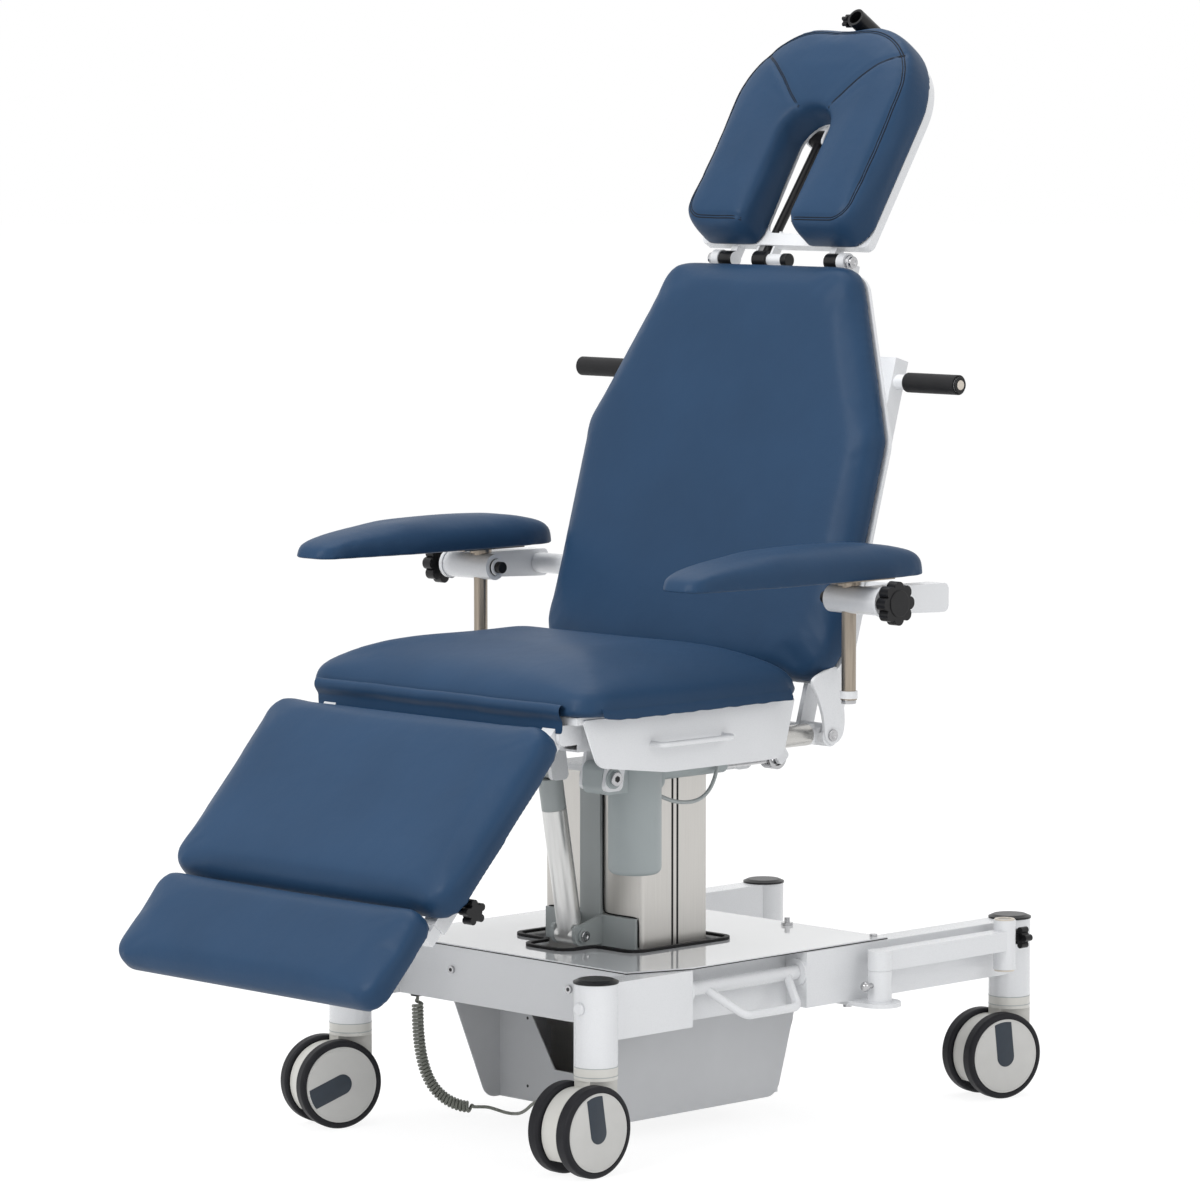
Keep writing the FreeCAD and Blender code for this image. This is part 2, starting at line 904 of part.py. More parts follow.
# Chassis frame: side members, cross members, front panel and the column well
member_outer = castor_x - rail_width / 2
member_inner = member_outer - member_width
panel_back = panel_face + panel_thickness
well_inner = well_half_width - well_plate
floor_top = well_floor + well_floor_thickness
member = bar(member_inner, member_outer, panel_back, member_rear, rail_bottom, rail_top, rail_wall, "y")
well_side = box(well_inner, well_half_width, well_front, well_rear, well_floor, rail_bottom)
flange = box(well_inner, member_inner, well_front, well_rear, rail_bottom, rail_bottom + flange_thickness)
front_cross = bar(-member_inner, member_inner, panel_back, panel_back + cross_depth, rail_bottom, rail_top,
                  rail_wall, "x")
rear_cross = bar(-member_inner, member_inner, member_rear - cross_depth, member_rear, rail_bottom, rail_top,
                 rail_wall, "x")
front_panel = box(-member_outer, member_outer, panel_face, panel_back, rail_bottom, rail_top)
well_base = box(-well_half_width, well_half_width, well_front, well_rear, well_floor, floor_top)
nodes["chassis_frame"] = fuse([member, mirrored(member), well_side, mirrored(well_side), flange,
                               mirrored(flange), front_cross, rear_cross, front_panel, well_base])

# Cover plate with the column cut-out, and the edging round it
plate_top = rail_top + plate_thickness
cutout_points = [(-cutout_half_width, cutout_front), (-tongue_half_width, cutout_front),
                 (-tongue_half_width, tongue_front), (tongue_half_width, tongue_front),
                 (tongue_half_width, cutout_front), (cutout_half_width, cutout_front),
                 (cutout_half_width, cutout_rear), (-cutout_half_width, cutout_rear)]
cutout_radii = [cutout_round] * len(cutout_points)
plate_shoulder = plate_half_width - plate_chamfer
plate_points = [(-plate_shoulder, panel_face), (plate_shoulder, panel_face),
                (plate_half_width, panel_face + plate_chamfer_length), (plate_half_width, plate_rear),
                (-plate_half_width, plate_rear), (-plate_half_width, panel_face + plate_chamfer_length)]
plate = slab(plate_points, [plate_thickness] * len(plate_points), rail_top, plate_top)
opening = slab(cutout_points, cutout_radii, rail_top - overrun, plate_top + overrun)
nodes["cover_plate"] = plate.cut(opening)
edging_outer = Part.Face(rounded_wire(cutout_points, cutout_radii, -edging_width, plate_top))
edging_outer = edging_outer.extrude(Vector(0, 0, edging_height))
nodes["cover_edging"] = edging_outer.cut(opening)

# Shield tray: two side panels, a front wall with a window and a floor
tray_points = [(tray_front_top, rail_bottom), (tray_front_low, tray_bottom), (tray_rear_low, tray_bottom),
               (tray_rear_top, rail_bottom)]
tray_radii = [tray_sheet, tray_round, tray_round, tray_sheet]
tray_inner = tray_half_width - tray_sheet
tray_side = side_plate(tray_points, tray_radii, tray_inner, tray_half_width)
tray_floor = box(-tray_inner, tray_inner, tray_wall, tray_rear_low - tray_round, tray_bottom,
                 tray_bottom + tray_sheet)
tray_front = box(-tray_inner, tray_inner, tray_wall, tray_wall + tray_sheet, tray_bottom, rail_bottom)
window_points = [(window_left_top, window_top), (window_left_low, window_low), (window_right, window_low),
                 (window_right, window_top)]
window = slab(window_points, [tray_sheet] * len(window_points), -overrun, overrun)
window.rotate(Vector(0, 0, 0), Vector(1, 0, 0), 90)
window.translate(Vector(0, tray_wall, 0))
nodes["shield_tray"] = fuse([tray_side, mirrored(tray_side), tray_floor, tray_front.cut(window)])
nodes["control_box"] = box(-well_inner, well_inner, control_front, control_rear, control_low, control_top)

# Screws, and the stud on the cover
screws = []
for side in (-1, 1):
    spot = (side * panel_screw_x, panel_face, panel_screw_z)
    screws.append(rod((spot[0], spot[1] - panel_screw_height, spot[2]), spot, panel_screw_radius))
    screws.append(rod((side * corner_screw_x, corner_screw_y, plate_top),
                      (side * corner_screw_x, corner_screw_y, plate_top + panel_screw_height),
                      panel_screw_radius))
stud_pin = rod((stud_x, stud_y, plate_top), (stud_x, stud_y, plate_top + stud_height), stud_radius)
stud_nut = rod((stud_x, stud_y, plate_top), (stud_x, stud_y, plate_top + stud_nut_height), stud_nut_radius)
screws.append(fuse([stud_pin, stud_nut]))

# Central lock pedal: a cross tube between the rails with a bent tread rod
pedal_tube = rod((pedal_x, front_rail_end + touch_gap, pedal_z),
                 (pedal_x, rear_rail_start - touch_gap, pedal_z), pedal_tube_radius)
tread = bent_rod([(pedal_x, pedal_root_front, pedal_z), (pedal_tread_x, pedal_tread_front, pedal_tread_z),
                  (pedal_tread_x, pedal_tread_rear, pedal_tread_z), (pedal_x, pedal_root_rear, pedal_z)],
                 [pedal_bend, pedal_bend], pedal_rod_radius)
pedal = fuse([pedal_tube, tread])
nodes["brake_pedal_right"] = pedal
nodes["brake_pedal_left"] = mirrored(pedal)

# Pole holder: a fixed sleeve under the right rear rail, a swinging arm with a socket
holder_low = rail_bottom - holder_plate
holder = box(holder_inner_x, sleeve_x, sleeve_y - holder_margin, sleeve_y + holder_margin, holder_low,
             rail_bottom)
holder_end = rod((sleeve_x, sleeve_y, holder_low), (sleeve_x, sleeve_y, rail_bottom), holder_margin)
sleeve = rod((sleeve_x, sleeve_y, holder_low), (sleeve_x, sleeve_y, sleeve_top), sleeve_radius)
holder = fuse([holder, holder_end, sleeve])
holder = holder.cut(rod((sleeve_x, sleeve_y, rail_bottom), (sleeve_x, sleeve_y, sleeve_top + overrun),
                        arm_pin_radius + run_gap))
holder = holder.cut(rod((sleeve_x, sleeve_y, plunger_z), (sleeve_x, sleeve_y - overrun, plunger_z),
                        plunger_radius + run_gap))
nodes["pole_holder"] = holder
for way in (-1, 1):
    bolt_spot = (holder_bolt_x, sleeve_y + way * (sleeve_y - holder_bolt_y), holder_low)
    screws.append(rod((bolt_spot[0], bolt_spot[1], holder_low - holder_bolt_height), bolt_spot,
                      holder_bolt_radius))
nodes["chassis_screws"] = Part.makeCompound(screws)

arm_low = sleeve_top + touch_gap
arm_high = arm_low + pole_arm_height
arm_pin = rod((sleeve_x, sleeve_y, rail_bottom + touch_gap), (sleeve_x, sleeve_y, arm_low), arm_pin_radius)
arm_end = rod((sleeve_x, sleeve_y, arm_low), (sleeve_x, sleeve_y, arm_high), sleeve_radius)
arm_bar = box(sleeve_x - pole_arm_width / 2, sleeve_x + pole_arm_width / 2, sleeve_y, pole_socket_y,
              arm_low,
              arm_high)
socket = rod((sleeve_x, pole_socket_y, pole_socket_low), (sleeve_x, pole_socket_y, pole_socket_high),
             pole_socket_radius)
pole_arm = fuse([arm_pin, arm_end, arm_bar, socket])
pole_arm = pole_arm.cut(rod((sleeve_x, pole_socket_y, pole_socket_low - overrun),
                            (sleeve_x, pole_socket_y, pole_socket_high + overrun), pole_bore_radius))
knob_height = (arm_low + arm_high) / 2
knob_face = pole_socket_y + pole_socket_radius
pole_arm = pole_arm.cut(rod((sleeve_x, pole_socket_y, knob_height),
                            (sleeve_x, knob_face + overrun, knob_height), clamp_hole_radius))
pole_arm = pole_arm.cut(rod((sleeve_x, sleeve_y, plunger_z), (sleeve_x, sleeve_y - overrun, plunger_z),
                            plunger_radius + run_gap))
bushes = []
for seat, way in ((pole_socket_high, 1), (pole_socket_low, -1)):
    ring = pipe((sleeve_x, pole_socket_y, seat), (sleeve_x, pole_socket_y, seat + way * bush_flange),
                pole_socket_radius, pole_bore_radius)
    bushes.append(ring)
nodes["pole_arm"] = Part.makeCompound([pole_arm] + bushes)
pole_knob = star_knob(small_knob_radius, small_knob_depth, small_knob_lobes, bush_height + plunger_neck,
                      bush_height)
nodes["pole_knob"] = turned(pole_knob, "y", (sleeve_x, knob_face + touch_gap, knob_height))
plunger_face = sleeve_y - sleeve_radius
plunger = fuse([
    rod((sleeve_x, plunger_face + plunger_depth, plunger_z),
        (sleeve_x, plunger_face - plunger_neck, plunger_z), plunger_radius),
    Part.makeSphere(plunger_ball,
                    Vector(sleeve_x, plunger_face - plunger_neck - plunger_depth / 2, plunger_z))])
nodes["index_plunger"] = plunger

# Lifting column: a grooved outer sleeve on a fixed inner post
column_points = [(-column_half_width, column_front), (column_half_width, column_front),
                 (column_half_width, column_rear), (-column_half_width, column_rear)]
outer_column = slab(column_points, [column_round] * len(column_points), column_low, column_high)
cavity = box(-column_half_width + column_wall, column_half_width - column_wall, column_front + column_wall,
             column_rear - column_wall, column_low - overrun, column_high + overrun)
outer_column = outer_column.cut(cavity)
groove_middle = (column_front + column_rear) / 2
for side in (-1, 1):
    for way in (-1, 1):
        groove_y = groove_middle + way * groove_pitch / 2
        face_x = side * column_half_width
        outer_column = outer_column.cut(box(face_x - groove_depth, face_x + groove_depth,
                                            groove_y - groove_width / 2, groove_y + groove_width / 2,
                                            column_low - overrun, column_high + overrun))
nodes["column_outer"] = outer_column
inner_x = column_half_width - column_wall - glide_gap
inner_front = column_front + column_wall + glide_gap
inner_rear = column_rear - column_wall - glide_gap
inner_column = box(-inner_x, inner_x, inner_front, inner_rear, floor_top, inner_top)
nodes["column_inner"] = inner_column.cut(
    box(-inner_x + inner_wall, inner_x - inner_wall, inner_front + inner_wall, inner_rear - inner_wall,
        floor_top + inner_wall, inner_top + overrun))

# Column head: a top plate with two lugs for the seat tilt pins
tilt_lug_end = tilt_lug_x + lug_plate
top_plate = box(-column_half_width, column_half_width, column_front, column_rear, column_high,
                column_high + head_plate)
lug_low = tilt_z - tilt_lug_radius
lug_high = tilt_z + tilt_lug_radius
lug_front = column_rear + touch_gap
lug_points = [(lug_front, lug_low), (tilt_y + tilt_lug_radius, lug_low),
              (tilt_y + tilt_lug_radius, lug_high),
              (tilt_y - tilt_lug_radius, lug_high), (lug_front, column_high + head_plate)]
lug_radii = [edge_round, tilt_lug_radius, tilt_lug_radius, tilt_lug_radius, edge_round]
head_lug = side_plate(lug_points, lug_radii, tilt_lug_x, tilt_lug_end)
head_lug = head_lug.cut(rod((tilt_lug_x - overrun, tilt_y, tilt_z),
                            (tilt_lug_end + overrun, tilt_y, tilt_z),
                            tilt_pin_radius + run_gap))
column_end = box(-column_half_width, column_half_width, column_rear - column_wall, tilt_web_front,
                 column_high,
                 column_high + head_plate)
nodes["column_head"] = fuse([top_plate, column_end, head_lug, mirrored(head_lug)])

# Grey bracket on the column front with the actuator pivot
plate_front = column_front - bracket_plate
bracket_foot = box(-bracket_foot_half, bracket_foot_half, plate_front, column_front, bracket_foot_low,
                   bracket_foot_high)
spine = box(-bracket_spine_half, bracket_spine_half, plate_front, column_front, bracket_foot_low,
            column_high)
pivot_lug_end = pivot_lug_x + pivot_lug_plate
pivot_points = [(pivot_y - pivot_lug_radius, pivot_z - pivot_lug_radius),
                (plate_front + weld_depth, pivot_z - pivot_lug_radius),
                (plate_front + weld_depth, bracket_foot_high),
                (pivot_y, pivot_z + pivot_lug_radius),
                (pivot_y - pivot_lug_radius, pivot_z + pivot_lug_radius)]
pivot_radii = [pivot_lug_radius, edge_round, edge_round, edge_round, pivot_lug_radius]
pivot_lug = side_plate(pivot_points, pivot_radii, pivot_lug_x, pivot_lug_end)
pivot_pin = rod((-pivot_lug_end - pivot_head, pivot_y, pivot_z),
                (pivot_lug_end + pivot_head, pivot_y, pivot_z),
                pivot_pin_radius)
pivot_cap = rod((pivot_lug_end, pivot_y, pivot_z), (pivot_lug_end + pivot_head, pivot_y, pivot_z),
                pivot_head_radius)
nodes["column_bracket"] = fuse([bracket_foot, spine, pivot_lug, mirrored(pivot_lug), pivot_pin, pivot_cap,
                                mirrored(pivot_cap)])

# Tilt actuator: a tube on the lower pivot and a rod with a clevis under the seat
tilt_run = Vector(0, tilt_top_y - pivot_y, tilt_top_z - pivot_z)
tilt_length = tilt_run.Length
tilt_way = Vector(tilt_run).normalize()
pivot = Vector(0, pivot_y, pivot_z)


def along_actuator(distance):
    return tuple(pivot + tilt_way * distance)


eye_half = pivot_lug_x - touch_gap
lower_eye = rod((-eye_half, pivot_y, pivot_z), (eye_half, pivot_y, pivot_z), pivot_lug_radius)
tilt_tube = fuse([lower_eye, rod(along_actuator(0), along_actuator(actuator_length), actuator_radius)])
tilt_tube = tilt_tube.cut(rod((-overrun, pivot_y, pivot_z), (overrun, pivot_y, pivot_z),
                              pivot_pin_radius + run_gap))
lug_relief = rod((eye_half, pivot_y, pivot_z), (eye_half + overrun, pivot_y, pivot_z),
                 actuator_start)
tilt_tube = tilt_tube.cut(lug_relief).cut(mirrored(lug_relief))
rod_end = actuator_length - rod_insert
nodes["tilt_tube"] = tilt_tube.cut(rod(along_actuator(rod_end - touch_gap),
                                       along_actuator(actuator_length + overrun), actuator_bore))
rod_start = actuator_length + touch_gap
tilt_rod = rod(along_actuator(rod_end), along_actuator(tilt_length - clevis_eye), actuator_rod_radius)
clevis_body = rod(along_actuator(rod_start), along_actuator(tilt_length - clevis_eye), actuator_radius)
clevis_eye_piece = rod((-clevis_half_width, tilt_top_y, tilt_top_z),
                       (clevis_half_width, tilt_top_y, tilt_top_z),
                       clevis_depth)
tilt_rod = fuse([tilt_rod, clevis_body, clevis_eye_piece])
nodes["tilt_rod"] = tilt_rod.cut(rod((-overrun, tilt_top_y, tilt_top_z), (overrun, tilt_top_y, tilt_top_z),
                                     pivot_pin_radius + open_pivot_gap))


# Stations across the seat, all from the seat's width
side_panel_x = seat_half_width - side_panel_inset
board_half_width = side_panel_x - side_sheet
seat_rail_outer = board_half_width - seat_rail_gap
seat_rail_inner = seat_rail_outer - seat_rail_width
back_stub_x = seat_rail_outer + back_stub_offset
leg_rail_x = seat_rail_outer - leg_rail_offset
leg_half_width = seat_half_width - leg_inset
foot_half_width = seat_half_width - foot_inset


# Seat frame: two side rails, three cross tubes and the lugs of every hinge
def seat_bar(x0, x1, y0, y1, axis):
    return bar(x0, x1, y0, y1, seat_rail_low, seat_rail_high, seat_tube_wall, axis)


side_rail = seat_bar(seat_rail_inner, seat_rail_outer, seat_rail_front, seat_rail_rear, "y")
crosses = [seat_bar(-seat_rail_inner, seat_rail_inner, y, y + seat_cross, "x")
           for y in (seat_rail_front, mid_cross_y, seat_rail_rear - seat_cross)]
tilt_arm_x = tilt_lug_end + touch_gap
tilt_arm_end = tilt_arm_x + lug_plate
rear_cross_y = seat_rail_rear - seat_cross
tilt_arm_points = [(tilt_y + tilt_lug_radius, tilt_z - tilt_lug_radius),
                   (tilt_y + tilt_lug_radius, tilt_z + tilt_lug_radius),
                   (seat_rail_rear, seat_rail_low + seat_tube_wall),
                   (rear_cross_y, seat_rail_low + seat_tube_wall),
                   (tilt_y - tilt_lug_radius, tilt_z - tilt_lug_radius)]
tilt_arm_radii = [tilt_lug_radius, tilt_lug_radius, edge_round, edge_round, tilt_lug_radius]
tilt_arm = side_plate(tilt_arm_points, tilt_arm_radii, tilt_arm_x, tilt_arm_end)
tilt_pin = rod((tilt_lug_x - tilt_pin_spare, tilt_y, tilt_z),
               (tilt_arm_end + tilt_pin_spare, tilt_y, tilt_z),
               tilt_pin_radius)
fork_x = actuator_radius + glide_gap
fork_end = fork_x + pivot_lug_plate
fork_points = [(tilt_top_y - clevis_depth, tilt_top_z - clevis_depth),
               (tilt_top_y + clevis_depth, tilt_top_z - clevis_depth),
               (mid_cross_y + seat_cross, seat_rail_low + seat_tube_wall),
               (mid_cross_y, seat_rail_low + seat_tube_wall)]
fork_radii = [clevis_depth / 2, clevis_depth / 2, edge_round, edge_round]
fork = side_plate(fork_points, fork_radii, fork_x, fork_end)
fork_pin = rod((-fork_end, tilt_top_y, tilt_top_z), (fork_end, tilt_top_y, tilt_top_z), pivot_pin_radius)
motor_lugs = []
bolt_lug_points = [(bolt_y - bolt_lug_radius, spindle_z - bolt_lug_radius),
                   (bolt_y + bolt_lug_radius, spindle_z - bolt_lug_radius),
                   (mid_cross_y + seat_cross, seat_rail_low + seat_tube_wall),
                   (mid_cross_y, seat_rail_low + seat_tube_wall)]
bolt_lug_radii = [bolt_lug_radius / 2, bolt_lug_radius / 2, edge_round, edge_round]
lug_start = motor_x + gear_half_width + glide_gap
for x in (lug_start, motor_x - gear_half_width - glide_gap - bolt_lug):
    plate_lug = side_plate(bolt_lug_points, bolt_lug_radii, x, x + bolt_lug)
    motor_lugs.append(plate_lug.cut(rod((x - overrun, bolt_y, spindle_z), (x + overrun, bolt_y, spindle_z),
                                        bolt_radius + run_gap)))
stub = rod((back_stub_x, back_stub_front, hinge_z), (back_stub_x, hinge_y, hinge_z), back_stub_radius)
stub_hanger = box(back_stub_x - back_stub_hanger, back_stub_x, back_stub_front, seat_rail_rear, hinge_z,
                  seat_rail_low + seat_tube_wall)
hinge_eye = rod((back_stub_x - hinge_eye_half, hinge_y, hinge_z),
                (back_stub_x + hinge_eye_half, hinge_y, hinge_z),
                hinge_eye_radius)
stub = fuse([stub, hinge_eye])
stub = stub.cut(rod((back_stub_x - overrun, hinge_y, hinge_z), (back_stub_x + overrun, hinge_y, hinge_z),
                    hinge_pin_radius + run_gap))
knee_half = leg_rail_size / 2 + knee_gap
knee_lugs = []
knee_points = [(knee_y - knee_radius, knee_z - knee_radius),
               (seat_rail_front + seat_tube_wall, knee_z - knee_radius),
               (seat_rail_front + seat_tube_wall, knee_z + knee_radius),
               (knee_y - knee_radius, knee_z + knee_radius)]
knee_radii = [knee_round, edge_round, edge_round, knee_round]
for x in (leg_rail_x - knee_half - knee_lug, leg_rail_x + knee_half):
    knee_lugs.append(side_plate(knee_points, knee_radii, x, x + knee_lug))
knee_pin = rod((leg_rail_x - knee_half - knee_lug, knee_y, knee_z),
               (leg_rail_x + knee_half + knee_lug, knee_y, knee_z),
               knee_pin_radius)
knee_web = box(leg_rail_x - knee_half - knee_lug, leg_rail_x + knee_half + knee_lug, seat_rail_front,
               seat_rail_front + seat_tube_wall, knee_z - knee_radius, knee_z + knee_radius)
one_side = [side_rail, tilt_arm, tilt_pin, stub, stub_hanger, knee_pin, knee_web] + knee_lugs
both = one_side + [mirrored(piece) for piece in one_side]
board_top = seat_rail_high + board_thickness
board = box(-board_half_width, board_half_width, board_front, board_rear, seat_rail_high, board_top)
junction = box(motor_x - junction_size, motor_x + junction_size, rear_cross_y, seat_rail_rear,
               seat_rail_low - junction_size, seat_rail_low)
nodes["seat_frame"] = fuse(both + crosses + [fork, mirrored(fork), fork_pin, board, junction] + motor_lugs)

# Side panels with wire handles
panel_points = [(side_front_top, side_top), (side_front_low, side_nose_z), (side_nose_y, side_low),
                (side_rear_low, side_low), (side_rear_top, side_top)]
panel_radii = [side_sheet, side_round, side_round, side_round, side_sheet]
side_panel = side_plate(panel_points, panel_radii, board_half_width, side_panel_x)
handle_x = side_panel_x + handle_reach
handle = bent_rod([(side_panel_x, handle_front, handle_z), (handle_x, handle_front, handle_z),
                   (handle_x, handle_rear, handle_z), (side_panel_x, handle_rear, handle_z)],
                  [handle_bend, handle_bend], handle_radius)
nodes["side_panels"] = both_sides(fuse([side_panel, handle]))

# Seat pad and the rolled strip
seat_points = [(-seat_half_width, seat_front), (seat_half_width, seat_front), (seat_half_width, seat_rear),
               (-seat_half_width, seat_rear)]
seat_pad = pad(seat_points, [seat_corner] * len(seat_points), seat_edge, seat_crown, seat_draw)
seat_pad.translate(Vector(0, 0, board_top))
nodes["seat_pad"] = seat_pad
strip_points = [(seat_front - touch_gap - strip_depth, strip_low), (seat_front - touch_gap, strip_low),
                (seat_front - touch_gap, strip_low + strip_height),
                (seat_front - touch_gap - strip_depth, strip_low + strip_height)]
nodes["front_strip"] = side_plate(strip_points, [strip_round] * len(strip_points), -strip_half_width,
                                  strip_half_width)

# Back actuator: motor, gear head and spindle tube, and the sliding rod
motor = rod((motor_x, motor_y, motor_low), (motor_x, motor_y, motor_top), motor_radius)
motor = motor.makeFillet(motor_round,
                         [e for e in motor.Edges if e.Closed and e.BoundBox.ZMax < motor_low + touch_gap])
gear_points = [(gear_front, gear_low), (gear_rear, gear_low), (gear_rear, gear_high),
               (gear_front, gear_high)]
gear = side_plate(gear_points, [gear_round] * len(gear_points), motor_x - gear_half_width,
                  motor_x + gear_half_width)
motor_cap = rod((motor_x, motor_y, gear_low), (motor_x, motor_y, gear_high), motor_radius)
spindle_tube = rod((motor_x, gear_rear - gear_round, spindle_z), (motor_x, spindle_tube_end, spindle_z),
                   spindle_tube_radius)
actuator = fuse([motor, gear, motor_cap, spindle_tube])
actuator = actuator.cut(rod((motor_x - overrun, bolt_y, spindle_z), (motor_x + overrun, bolt_y, spindle_z),
                            bolt_radius + run_gap))
spindle_start = spindle_tube_end - spindle_insert
actuator = actuator.cut(rod((motor_x, spindle_tube_end - spindle_bore_depth, spindle_z),
                            (motor_x, spindle_tube_end + overrun, spindle_z), spindle_radius + run_gap))
lever_angle = math.radians(lever_lean)
lever_y = hinge_y + lever_length * math.sin(lever_angle)
lever_z = hinge_z - lever_length * math.cos(lever_angle)
spindle_rod = rod((motor_x, spindle_start, spindle_z), (motor_x, lever_y, spindle_z), spindle_radius)
spindle_eye = rod((motor_x - lever_eye_half, lever_y, spindle_z),
                  (motor_x + lever_eye_half, lever_y, spindle_z),
                  lever_eye_radius)
spindle_rod = fuse([spindle_rod, spindle_eye])
nodes["back_actuator_rod"] = spindle_rod.cut(
    rod((motor_x - overrun, lever_y, spindle_z), (motor_x + overrun, lever_y, spindle_z),
        lever_pin_radius + lever_open_gap))

# Chrome bolts: actuator bolt on the seat lugs and the two back hinge bolts
lug_out = lug_start + bolt_lug
lug_in = motor_x - gear_half_width - glide_gap - bolt_lug
bolt = fuse([
    rod((lug_in, bolt_y, spindle_z), (lug_out, bolt_y, spindle_z), bolt_radius),
    rod((lug_out, bolt_y, spindle_z), (lug_out + bolt_washer, bolt_y, spindle_z), bolt_washer_radius),
    rod((lug_out, bolt_y, spindle_z), (lug_out + bolt_head, bolt_y, spindle_z), bolt_head_radius),
    rod((lug_in - bolt_head, bolt_y, spindle_z), (lug_in, bolt_y, spindle_z), bolt_head_radius)])
nodes["back_actuator"] = Part.makeCompound([actuator, bolt])

# Backrest, built flat on its slope: frame with arms, cross tubes, push bar and head ears
hinge_s, hinge_n = slope_point(hinge_y, hinge_z, back_slope, back_y, back_z)
frame_front = -back_pad_depth - shell_thickness
frame_rear = frame_front - back_rail_depth
arm_plate_in = back_stub_x + hinge_eye_half + hinge_plate_gap
push_grip_start = arm_plate_in + hinge_plate + push_grip_gap
push_grip_end = push_grip_start + push_grip_length
push_bar_half = push_grip_end + push_bar_spare
back_rail = box(back_stub_x - hinge_eye_half, back_stub_x + hinge_eye_half, back_arm_top - back_rail_depth,
                back_rail_top, frame_rear, frame_front)


def back_arm(x):
    blade = box(x, x + hinge_plate, hinge_s, back_arm_top, hinge_n - hinge_eye_radius,
                hinge_n + hinge_eye_radius)
    blade = blade.cut(box(x - overrun, x + overrun, hinge_s - overrun, back_arm_top + overrun, frame_front,
                          overrun))
    end = rod((x, hinge_s, hinge_n), (x + hinge_plate, hinge_s, hinge_n), hinge_eye_radius)
    end = end.cut(box(x - overrun, x + overrun, hinge_s, back_arm_top, frame_front, overrun))
    return fuse([blade, end])


outer_arm = back_arm(arm_plate_in)
inner_arm = back_arm(back_stub_x - hinge_eye_half - hinge_plate_gap - hinge_plate)
arm_link = box(back_stub_x - hinge_eye_half - hinge_plate_gap, arm_plate_in, back_arm_top - back_rail_depth,
               back_arm_top, frame_rear, frame_front)
hinge_bolt_in = back_stub_x - hinge_eye_half - hinge_plate_gap - hinge_plate
hinge_bolt = rod((hinge_bolt_in, hinge_s, hinge_n),
                 (arm_plate_in + hinge_plate + bolt_washer, hinge_s, hinge_n),
                 hinge_pin_radius)
hinge_cap = rod((arm_plate_in + hinge_plate, hinge_s, hinge_n),
                (arm_plate_in + hinge_plate + bolt_washer, hinge_s, hinge_n), hinge_cap_radius)
arm_axle_n = -arm_axle_depth
arm_axle = rod((back_stub_x, arm_axle_station, arm_axle_n), (arm_axle_end, arm_axle_station, arm_axle_n),
               arm_axle_radius)
arm_pivot = rod((arm_axle_end, arm_axle_station, arm_axle_n),
                (arm_inner + arm_width - arm_skin, arm_axle_station, arm_axle_n), arm_pivot_radius)
axle_block = box(back_stub_x - hinge_eye_half, back_stub_x + hinge_eye_half,
                 arm_axle_station - arm_axle_radius,
                 back_arm_top, frame_rear, frame_front)
ear_s, ear_n = slope_point(head_hinge_y, head_hinge_z, back_slope, back_y, back_z)
ear_x1 = head_ear_x + head_ear_width
ear = box(head_ear_x, ear_x1, back_cross_high, ear_s, frame_rear, frame_front)
ear_end = rod((head_ear_x, ear_s, ear_n), (ear_x1, ear_s, ear_n), head_ear_radius)
ear_root = box(head_ear_x, ear_x1, ear_s - head_ear_radius, ear_s, ear_n - head_ear_radius, frame_front)
ear = fuse([ear, ear_end, ear_root])
ear = ear.cut(rod((head_ear_x - overrun, ear_s, ear_n), (ear_x1 + overrun, ear_s, ear_n),
                  head_pin_radius + run_gap))
back_one = [back_rail, outer_arm, inner_arm, arm_link, hinge_bolt, hinge_cap, arm_axle, arm_pivot,
            axle_block, ear]
cross_reach = back_stub_x - hinge_eye_half
back_crosses = [box(-cross_reach, cross_reach, s, s + back_cross, frame_rear, frame_front)
                for s in (back_arm_top - back_cross, back_cross_high)]
push_bar = rod((-push_bar_half, push_bar_station, -push_bar_depth),
               (push_bar_half, push_bar_station, -push_bar_depth),
               push_bar_radius)
torsion = rod((-back_stub_x + hinge_eye_half, hinge_s, hinge_n),
              (back_stub_x - hinge_eye_half, hinge_s, hinge_n), torsion_radius)
back_frame = fuse(back_one + [mirrored(piece) for piece in back_one] + back_crosses + [push_bar, torsion])
back_frame = on_slope(back_frame, back_slope, back_y, back_z)
lever_across = (lever_half_width * math.cos(lever_angle), lever_half_width * math.sin(lever_angle))
lever_tip_y = lever_y + lever_half_width * math.sin(lever_angle)
lever_tip_z = lever_z - lever_half_width * math.cos(lever_angle)
lever_points = [(hinge_y - lever_across[0], hinge_z - lever_across[1]),
                (lever_tip_y - lever_across[0], lever_tip_z - lever_across[1]),
                (lever_tip_y + lever_across[0], lever_tip_z + lever_across[1]),
                (hinge_y + lever_across[0], hinge_z + lever_across[1])]
lever_radii = [lever_pin_radius] * len(lever_points)
lever_inner = motor_x - lever_eye_half - lever_gap
lever_outer = motor_x + lever_eye_half + lever_gap
levers = [side_plate(lever_points, lever_radii, lever_inner - lever_plate, lever_inner),
          side_plate(lever_points, lever_radii, lever_outer, lever_outer + lever_plate)]
lever_pin = rod((lever_inner - lever_plate, lever_y, lever_z),
                (lever_outer + lever_plate, lever_y, lever_z),
                lever_pin_radius)
nodes["back_frame"] = fuse([back_frame, lever_pin] + levers)

